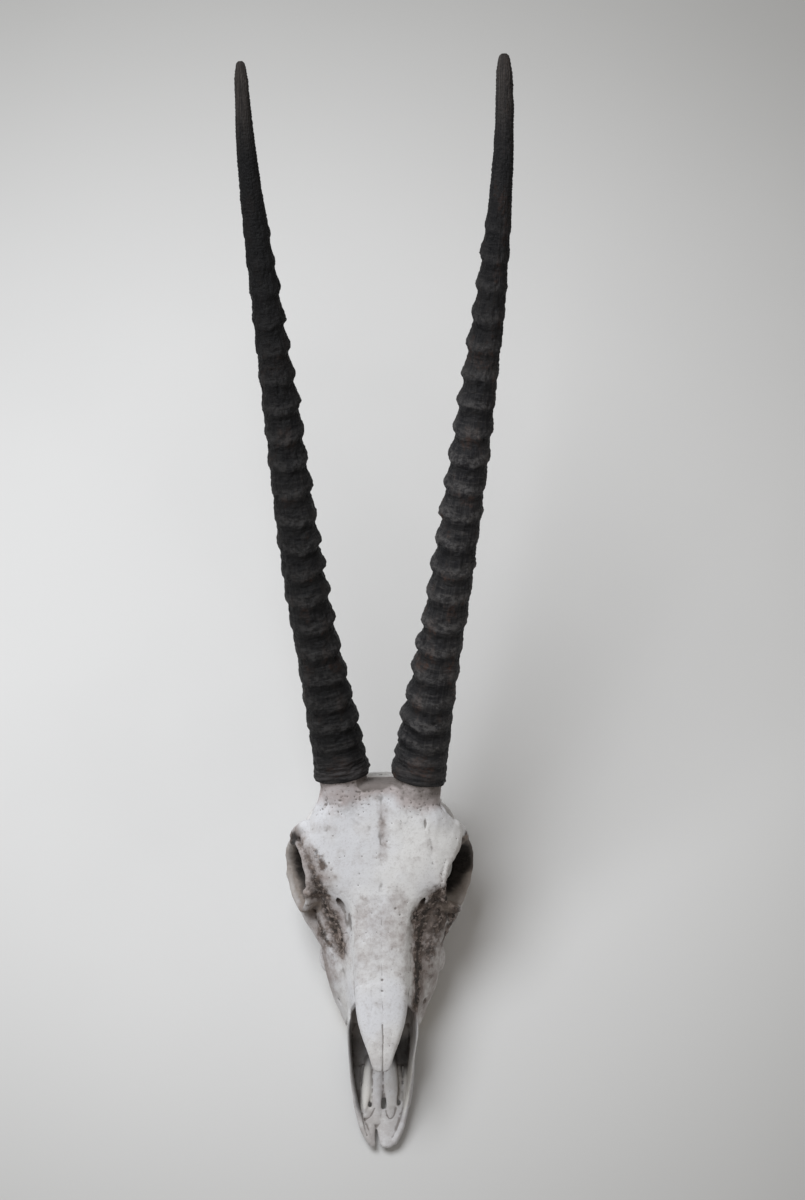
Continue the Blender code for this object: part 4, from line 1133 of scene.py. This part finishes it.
def horn(name, side, length, splay, tip_width):
    """A ringed sheath, with a short socket in its foot for the bone."""
    line = horn_line(length, splay)
    centres, ways = (np.array(column) for column in zip(*line))
    across = np.cross(ways, [0, 0, 1])
    across /= np.linalg.norm(across, axis=1)[:, None]
    over = np.cross(across, ways)
    seed = 100 if side > 0 else 200
    start = HORN_STARTS[side]
    # More stations towards the base, where the rings are close
    share = np.linspace(0, 1, HORN_STATIONS)
    heights = start + (length - start) * (share * 0.9 + 0.1 * share**2)
    heights[-1] = length * 0.9995
    angles = math.tau * np.arange(HORN_SIDES) / HORN_SIDES
    run, turn = (values.ravel() for values in np.meshgrid(heights, angles, indexing="ij"))
    radius = HORN_RADIUS * np.interp(run / length, *zip(*HORN_TAPER))
    radius *= 1 - (1 - tip_width) * fade(run / length, 0.88, 0.96)
    round_about = np.stack([np.cos(turn) * 20, np.sin(turn) * 20, run], axis=-1)
    swell, ring = horn_relief(run, turn, radius, round_about, length, seed)
    radius = radius + (swell - 0.5) * np.clip((length - run) / 8, 0, 1)

    index = np.clip(run / length * (len(line) - 1), 0, len(line) - 1.001)
    low = index.astype(int)
    part = (index - low)[:, None]

    def between(values):
        return values[low] * (1 - part) + values[low + 1] * part

    body = between(centres)
    body += between(across) * (radius * np.cos(turn))[:, None]
    body += between(over) * (radius * np.sin(turn))[:, None]
    # The foot: a rim, and the hollow that the bone goes into
    axis = np.array(pedicle_axis())
    foot_across = np.cross(axis, [0, 0, 1])
    foot_across /= np.linalg.norm(foot_across)
    out = np.outer(np.cos(angles), foot_across) + np.outer(np.sin(angles), np.cross(foot_across, axis))
    uneven = start + 0.25 * noise(round_about[:HORN_SIDES] * [1, 1, 0], 6, seed + 9)
    rim = radius[:HORN_SIDES, None] - 1.2
    foot = [
        np.array(HORN_BASE) + np.outer(depth + uneven, axis) + reach * out
        for reach, depth in (
            (8.0, SHEATH_RECESS + 0.8),
            (PEDICLE_RADIUS + 0.3, SHEATH_RECESS + 0.6),
            (PEDICLE_RADIUS + 0.5, 0.4),
            (rim - 1.4, -0.6),
            (rim, -0.9),
        )
    ]
    made = ringed_object(name, np.concatenate(foot + [body]) * [side, 1, 1], HORN_SIDES)
    rest = len(foot) * HORN_SIDES
    store(made.data, "share", np.r_[np.zeros(rest), run / length])
    store(made.data, "ring", np.r_[np.full(rest, -0.5), ring])
    store(made.data, "run", np.r_[np.zeros((rest, 3)), round_about])
    return made


# Teeth

TOOTH_SIDES = 96
CROWN_LEVELS = 26
FACE_RINGS = 14


def tooth(kind, name, middle, length, width, across, side):
    """A cheek tooth: a ribbed crown, and a worn face with crescents of enamel."""
    molar = kind.startswith("molar")
    halves = ((-0.5, 0.46), (0.5, 0.46)) if molar else ((0.0, 0.85),)
    x, d = np.array(tooth_outline(kind, TOOTH_SIDES)).T
    half_width, half_length = width / 2, length / 2
    ribs = np.zeros(TOOTH_SIDES)
    for centre, reach in halves:
        for shift in (-0.85, 0.0, 0.85):
            ribs += 0.045 * bell(d - (centre + shift * reach), 0.07) * (x > 0.3)
    crown = []
    for level in reversed(range(CROWN_LEVELS)):
        share = level / (CROWN_LEVELS - 1)
        scale = np.interp(share, [0, 0.04, 0.25, 1], [0.95, 0.985, 0.985, 0.9])
        height = np.full(TOOTH_SIDES, 0.25 + share * (TOOTH_HEIGHT - 0.4))
        crown.append(np.c_[x * (scale + ribs) * half_width * 0.985, d * scale * half_length, height])
    shares = [1 - step / (FACE_RINGS + 0.4) for step in range(1, FACE_RINGS + 1)]
    edge_x, edge_d = x * half_width * 0.935, d * half_length * 0.95
    face = np.concatenate([np.c_[edge_x * share, edge_d * share, x * 0] for share in shares])
    u, v = face[:, 0] / half_width, face[:, 1] / half_length
    enamel = (np.maximum(np.abs(u), np.abs(v)) > 0.80) * 1.0
    pit = np.zeros(len(face))
    for centre, reach in halves:
        w = (v - centre) / reach
        crescent = np.abs(u - 0.22 + 0.42 * w**2)
        enamel = np.maximum(enamel, (np.abs(crescent - 0.13) < 0.075) * (np.abs(w) < 0.8))
        pit = np.maximum(pit, (crescent < 0.075) * (np.abs(w) < 0.66))
    if molar:
        enamel = np.maximum(enamel, np.abs(v) < 0.07)
    face[:, 2] = 0.9 - 0.75 * enamel + 1.5 * pit + 0.12 * noise(face, 2.2, 3)
    points = (np.concatenate(crown + [face]) + [across, middle, 0]) * [side, 1, 1]
    made = ringed_object(name, points, TOOTH_SIDES)
    store(made.data, "enamel", np.r_[np.full(CROWN_LEVELS * TOOTH_SIDES, 0.8), enamel - pit])
    made.data.set_sharp_from_angle(angle=math.radians(60))
    return made


# Materials


class Nodes:
    """Short ways to add nodes to one material."""

    def __init__(self, name):
        self.material = bpy.data.materials.new(name)
        self.material.use_nodes = True
        self.tree = self.material.node_tree
        self.shader = self.tree.nodes["Principled BSDF"]

    def put(self, value, socket):
        """Links the output of another node to the socket, or gives it a plain value."""
        if isinstance(value, bpy.types.NodeSocket):
            self.tree.links.new(value, socket)
        else:
            socket.default_value = value

    def add(self, kind, inputs):
        """A new node of this kind, with its inputs by name or number."""
        node = self.tree.nodes.new("ShaderNode" + kind)
        for key, value in inputs.items():
            self.put(value, node.inputs[key])
        return node

    def coords(self):
        return self.add("TexCoord", {}).outputs["Object"]

    def attribute(self, name, output="Fac"):
        node = self.add("Attribute", {})
        node.attribute_name = name
        return node.outputs[output]

    def noise(self, vector, scale, detail, rough):
        inputs = {"Vector": vector, "Scale": scale, "Detail": detail, "Roughness": rough}
        return self.add("TexNoise", inputs).outputs["Fac"]

    def scaled(self, vector, scale):
        return self.add("Mapping", {"Vector": vector, "Scale": scale}).outputs["Vector"]

    def math(self, operation, a, b):
        node = self.add("Math", {0: a, 1: b})
        node.operation = operation
        return node.outputs[0]

    def times(self, a, b):
        return self.math("MULTIPLY", a, b)

    def total(self, *weighted):
        """The sum of some values, each with its weight."""
        first, *others = (self.times(value, weight) for value, weight in weighted)
        for other in others:
            first = self.math("ADD", first, other)
        return first

    def varied(self, value, noise, strength):
        """A value made uneven by a noise."""
        return self.math("ADD", value, self.times(self.math("SUBTRACT", noise, 0.5), strength))

    def ramp(self, value, low, high, to_low=0.0, to_high=1.0):
        """A smooth step from one value at low to another at high."""
        inputs = {"Value": value, "From Min": low, "From Max": high, "To Min": to_low, "To Max": to_high}
        node = self.add("MapRange", inputs)
        node.interpolation_type = "SMOOTHSTEP"
        return node.outputs["Result"]

    def mix(self, share, a, b):
        """A mix of two colours."""
        node = self.add("Mix", {"Factor": share})
        node.data_type = "RGBA"
        for socket, value in zip([s for s in node.inputs if s.type == "RGBA"], (a, b)):
            self.put((*value, 1.0) if isinstance(value, tuple) else value, socket)
        return [s for s in node.outputs if s.type == "RGBA"][0]

    def layers(self, colour, *rows):
        """Colours over a colour. Each row: what rules it, its range, its strength and the colour."""
        for value, low, high, strength, over in rows:
            colour = self.mix(self.ramp(value, low, high, 0.0, strength), colour, over)
        return colour

    def bump(self, height, strength, distance):
        inputs = {"Height": height, "Strength": strength, "Distance": distance}
        return self.add("Bump", inputs).outputs["Normal"]

    def finish(self, colour, roughness, normal, specular):
        """The material, with these on its shader."""
        self.put(colour, self.shader.inputs["Base Color"])
        self.put(roughness, self.shader.inputs["Roughness"])
        self.put(normal, self.shader.inputs["Normal"])
        self.shader.inputs["Specular IOR Level"].default_value = specular
        return self.material


def bone_material():
    """Dry pale bone, with stains, soaked places and dried skin, grime and painted shade in its hollows and on
    its sides, painted dark shade inside, and painted light on the snout's leaves.
    """
    n = Nodes("dry_bone")
    where = n.coords()
    broad = n.noise(where, 14, 3, 0.5)
    patch = n.noise(where, 55, 5, 0.62)
    ragged = n.noise(where, 150, 6, 0.68)
    grain = n.noise(where, 420, 4, 0.6)
    speck = n.noise(where, 900, 2, 0.5)
    mottle = n.total((patch, 0.55), (ragged, 0.45))
    names = ("open", "stain", "soak_and_shade", "skin_and_shade", "shade")
    seen, stain, soak_and_shade, skin_and_shade, shade = (n.attribute(name) for name in names)
    colour = n.layers(
        n.mix(n.ramp(broad, 0.38, 0.62), (0.705, 0.71, 0.74), (0.775, 0.77, 0.765)),
        (patch, 0.48, 0.70, 0.45, (0.52, 0.495, 0.49)),
        (ragged, 0.52, 0.70, 0.34, (0.47, 0.44, 0.43)),
        (grain, 0.52, 0.66, 0.25, (0.44, 0.42, 0.41)),
    )
    # Grey grime and painted shade on the sides of the face and at the tip of the snout
    flank_grime_and_shade = n.times(n.attribute("flank_grime_and_shade"), n.ramp(patch, 0.36, 0.60, 0.25, 0.8))
    dried_skin_and_shade = n.layers(
        n.mix(n.ramp(ragged, 0.40, 0.60), (0.022, 0.017, 0.014), (0.14, 0.11, 0.095)),
        (n.noise(where, 230, 4, 0.6), 0.50, 0.62, 0.8, (0.34, 0.285, 0.26)),
        (grain, 0.42, 0.35, 0.7, (0.015, 0.012, 0.010)),
        (n.varied(skin_and_shade, patch, 0.6), 0.85, 1.15, 0.8, (0.030, 0.025, 0.022)),
    )
    colour = n.layers(
        n.mix(flank_grime_and_shade, colour, (0.38, 0.35, 0.34)),
        # Grime and painted shade: browner and darker where a point sees little of its surroundings
        (n.varied(seen, patch, 0.3), 0.68, 0.30, 0.7, (0.27, 0.235, 0.21)),
        # Grime and painted shade in broad hollows
        (n.attribute("wide_hollow"), 0.1, 0.9, 0.35, (0.24, 0.215, 0.20)),
        (n.varied(stain, mottle, 1.4), 0.15, 0.85, 0.75, (0.42, 0.355, 0.345)),
        (n.varied(stain, mottle, 1.0), 0.80, 1.1, 0.85, (0.16, 0.14, 0.13)),
        # Soaked places, and the shade painted along the forehead's valley
        (n.varied(soak_and_shade, mottle, 1.2), 0.12, 0.60, 0.75, (0.30, 0.25, 0.235)),
        (n.varied(soak_and_shade, ragged, 1.6), 0.50, 0.95, 0.8, (0.15, 0.12, 0.105)),
        # Grime and painted shade in small hollows, pits and seams
        (n.varied(n.attribute("hollow"), patch, 0.5), 0.12, 0.6, 0.72, (0.16, 0.14, 0.13)),
        # Dried skin, and the shade painted as dried skin behind the eyes
        (n.varied(skin_and_shade, mottle, 2.6), 0.22, 0.72, 0.95, dried_skin_and_shade),
        # Brown, and painted shade, on the eye sockets' rims and walls
        (n.varied(shade, patch, 0.3), 0.05, 0.45, 0.85, (0.27, 0.225, 0.195)),
        (n.varied(shade, patch, 0.3), 0.60, 0.95, 0.9, (0.10, 0.084, 0.075)),
        # Painted shade: near black where a point sees least of its surroundings
        (seen, 0.34, 0.12, 0.9, (0.045, 0.036, 0.030)),
        # Painted light on the snout's leaves and on the inner face of its left wall
        (n.varied(n.attribute("leaf"), patch, 0.5), 0.1, 1.0, 0.9, (0.74, 0.725, 0.69)),
    )
    # Painted dark shade inside the eye sockets and in the hollow of the nose
    dark = n.mix(n.ramp(ragged, 0.4, 0.6), (0.012, 0.010, 0.009), (0.030, 0.026, 0.024))
    colour = n.mix(n.times(n.attribute("inside"), 0.97), colour, dark)
    colour = n.layers(colour, (speck, 0.62, 0.75, 0.25, (0.22, 0.20, 0.185)))
    normal = n.bump(n.total((grain, 0.6), (speck, 0.3), (ragged, 1.0)), 0.4, 0.0007)
    return n.finish(colour, n.ramp(grain, 0.3, 0.7, 0.62, 0.86), normal, 0.22)


def horn_material(name, tone, upper, foot):
    """Near-black horn, with a highlight painted on its ring crests and shade painted in the valleys between
    them, and lighter at its foot.
    """
    n = Nodes(name)
    run = n.attribute("run", "Vector")
    streak = n.noise(n.scaled(run, (0.55, 0.55, 0.022)), 1.0, 5, 0.65)
    fine = n.noise(n.scaled(run, (1.8, 1.8, 0.12)), 1.0, 4, 0.6)
    stripe = n.noise(n.scaled(run, (0.06, 0.06, 0.42)), 1.0, 5, 0.65)
    blotch = n.noise(n.scaled(run, (0.05, 0.05, 0.03)), 1.0, 4, 0.6)
    scale = n.noise(n.scaled(run, (0.22, 0.22, 0.26)), 1.0, 5, 0.7)
    ring, share = n.attribute("ring"), n.attribute("share")

    def toned(*colour):
        return tuple(value * tone for value in colour)

    colour = n.mix(n.ramp(blotch, 0.40, 0.60), toned(0.007, 0.007, 0.0085), toned(0.017, 0.0165, 0.0175))
    colour = n.layers(colour, (streak, 0.48, 0.66, 0.6, toned(0.034, 0.032, 0.032)))
    brown = n.times(n.times(n.ramp(blotch, 0.52, 0.64), n.ramp(scale, 0.42, 0.60)), 0.75)
    # A highlight painted on the ring crests
    crest_highlight = n.times(n.ramp(ring, 0.1, 0.9), n.ramp(scale, 0.42, 0.60, 0.1, 0.72))
    dust = n.times(n.ramp(stripe, 0.50, 0.66, 0.0, 0.6), n.ramp(scale, 0.40, 0.60, 0.2, 1.0))
    collar = n.times(n.ramp(share, 0.050, 0.015, 0.0, foot), n.ramp(stripe, 0.44, 0.58, 0.1, 0.95))
    for cover, over in (
        (brown, toned(0.050, 0.027, 0.020)),
        (crest_highlight, toned(0.072, 0.069, 0.069)),
        (dust, toned(0.060, 0.056, 0.055)),
        (collar, (0.046, 0.043, 0.044)),
    ):
        colour = n.mix(cover, colour, over)
    black = (0.003, 0.003, 0.0035)
    # The upper half darker, and shade painted in the valleys between the rings
    colour = n.layers(colour, (share, 0.45, 0.70, upper, black), (ring, -0.15, -0.7, 0.5, black))
    tip = n.times(n.ramp(share, 0.86, 0.99), n.ramp(streak, 0.42, 0.58, 0.2, 1.0))
    colour = n.mix(n.times(tip, 0.7), colour, (0.075, 0.064, 0.058))
    normal = n.bump(n.total((fine, 0.7), (streak, 0.7), (stripe, 1.0), (scale, 1.4)), 0.7, 0.0011)
    return n.finish(colour, n.ramp(scale, 0.3, 0.7, 0.50, 0.75), normal, 0.2)


def tooth_material():
    """Worn enamel over brown dentine."""
    n = Nodes("worn_teeth")
    where = n.coords()
    patch = n.noise(where, 160, 4, 0.6)
    grain = n.noise(where, 900, 3, 0.6)
    streak = n.noise(n.scaled(where, (700, 700, 60)), 1.0, 4, 0.6)
    enamel = n.attribute("enamel")
    crown = n.mix(n.ramp(patch, 0.35, 0.65), (0.50, 0.43, 0.31), (0.66, 0.61, 0.50))
    crown = n.layers(crown, (streak, 0.55, 0.75, 0.7, (0.13, 0.085, 0.05)))
    dentine = n.mix(n.ramp(grain, 0.3, 0.7), (0.12, 0.075, 0.04), (0.24, 0.165, 0.095))
    colour = n.mix(n.ramp(enamel, 0.3, 0.7), dentine, crown)
    colour = n.mix(n.ramp(enamel, -0.2, -0.8), colour, (0.02, 0.014, 0.01))
    normal = n.bump(n.math("ADD", streak, grain), 0.3, 0.0004)
    return n.finish(colour, n.ramp(patch, 0.3, 0.7, 0.28, 0.5), normal, 0.5)


def floor_material():
    """A pale floor with a painted falloff of light: it is painted grey away from the skull."""
    n = Nodes("pale_floor")
    where = n.coords()
    cloud = n.noise(where, 3.0, 3, 0.5)
    grain = n.noise(where, 260, 3, 0.5)
    # Painted falloff of light: the distance from where the painted pool of light is brightest
    middle = n.add("VectorMath", {0: where, 1: (-0.07, 0.11, 0.0)})
    middle.operation = "DISTANCE"
    away = n.varied(middle.outputs["Value"], cloud, 0.12)
    colour = n.mix(n.ramp(cloud, 0.35, 0.65), (0.745, 0.745, 0.745), (0.77, 0.77, 0.77))
    # Painted falloff of light: greyer away from the skull
    colour = n.layers(colour, (away, 0.28, 0.92, 0.95, (0.46, 0.458, 0.450)))
    return n.finish(colour, n.ramp(grain, 0.3, 0.7, 0.8, 0.9), n.bump(grain, 0.08, 0.0003), 0.1)


# Floor, lights and camera


def stage():
    """A wide flat floor."""
    solid = bmesh.new()
    bmesh.ops.create_grid(solid, x_segments=2, y_segments=2, size=5.0)
    data = bpy.data.meshes.new("floor")
    solid.to_mesh(data)
    solid.free()
    data.materials.append(floor_material())
    floor = add_object("floor", data)


def camera():
    """Four metres off, looking down at the face from the snout's side, as the photograph does."""
    distance, tilt = 4.0, math.radians(24.5)
    target = place(20.3, 433.3, 227.0)
    back = Vector((0.0113, -math.sin(tilt), math.cos(tilt))).normalized()
    right = (-back).cross(Vector((0, 1, 0))).normalized()
    up = back.cross(right)
    data = bpy.data.cameras.new("camera")
    data.lens = 136.4
    data.sensor_width = 36.0
    data.clip_end = 50.0
    made = add_object("camera", data)
    turned = Matrix((right, up, back)).transposed().to_4x4()
    turned.translation = target + back * distance
    made.matrix_world = turned
    scene.camera = made


def lights():
    """A warm even surround and one large cool light from the left."""
    world = bpy.data.worlds.new("studio")
    scene.world = world
    world.use_nodes = True
    world.node_tree.nodes["Background"].inputs["Color"].default_value = (1.0, 0.945, 0.88, 1.0)
    world.node_tree.nodes["Background"].inputs["Strength"].default_value = 0.285
    data = bpy.data.lights.new("key", "AREA")
    data.shape, data.size, data.energy = "DISK", 1.3, 30.0
    data.color = (0.945, 0.972, 1.0)
    made = add_object("key", data)
    made.location = (-0.66, 0.26, 1.82)
    made.rotation_euler = (Vector((-0.08, 0.0, 0.05)) - made.location).to_track_quat("-Z", "Y").to_euler()


def main():
    scene.view_settings.view_transform = "Standard"
    bone = skull()
    bone.data.materials.append(bone_material())
    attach(bone, "root")
    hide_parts("skull")
    for name, side in SIDES.items():
        sheath = horn(f"horn_sheath_{name}", side, **HORNS[name])
        sheath.data.materials.append(horn_material(f"horn_{name}", *HORN_TONES[name]))
        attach(sheath, "root")
        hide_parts(f"horn_{name}")
    enamel = tooth_material()
    for name, side in SIDES.items():
        for kind, middle, length, width, across in row_places():
            crown = tooth(kind, f"crown_{kind}_{name}", middle, length, width, across, side)
            crown.data.materials.append(enamel)
            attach(crown, "root")
            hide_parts(f"{kind}_{name}")
    stage()
    camera()
    lights()


main()
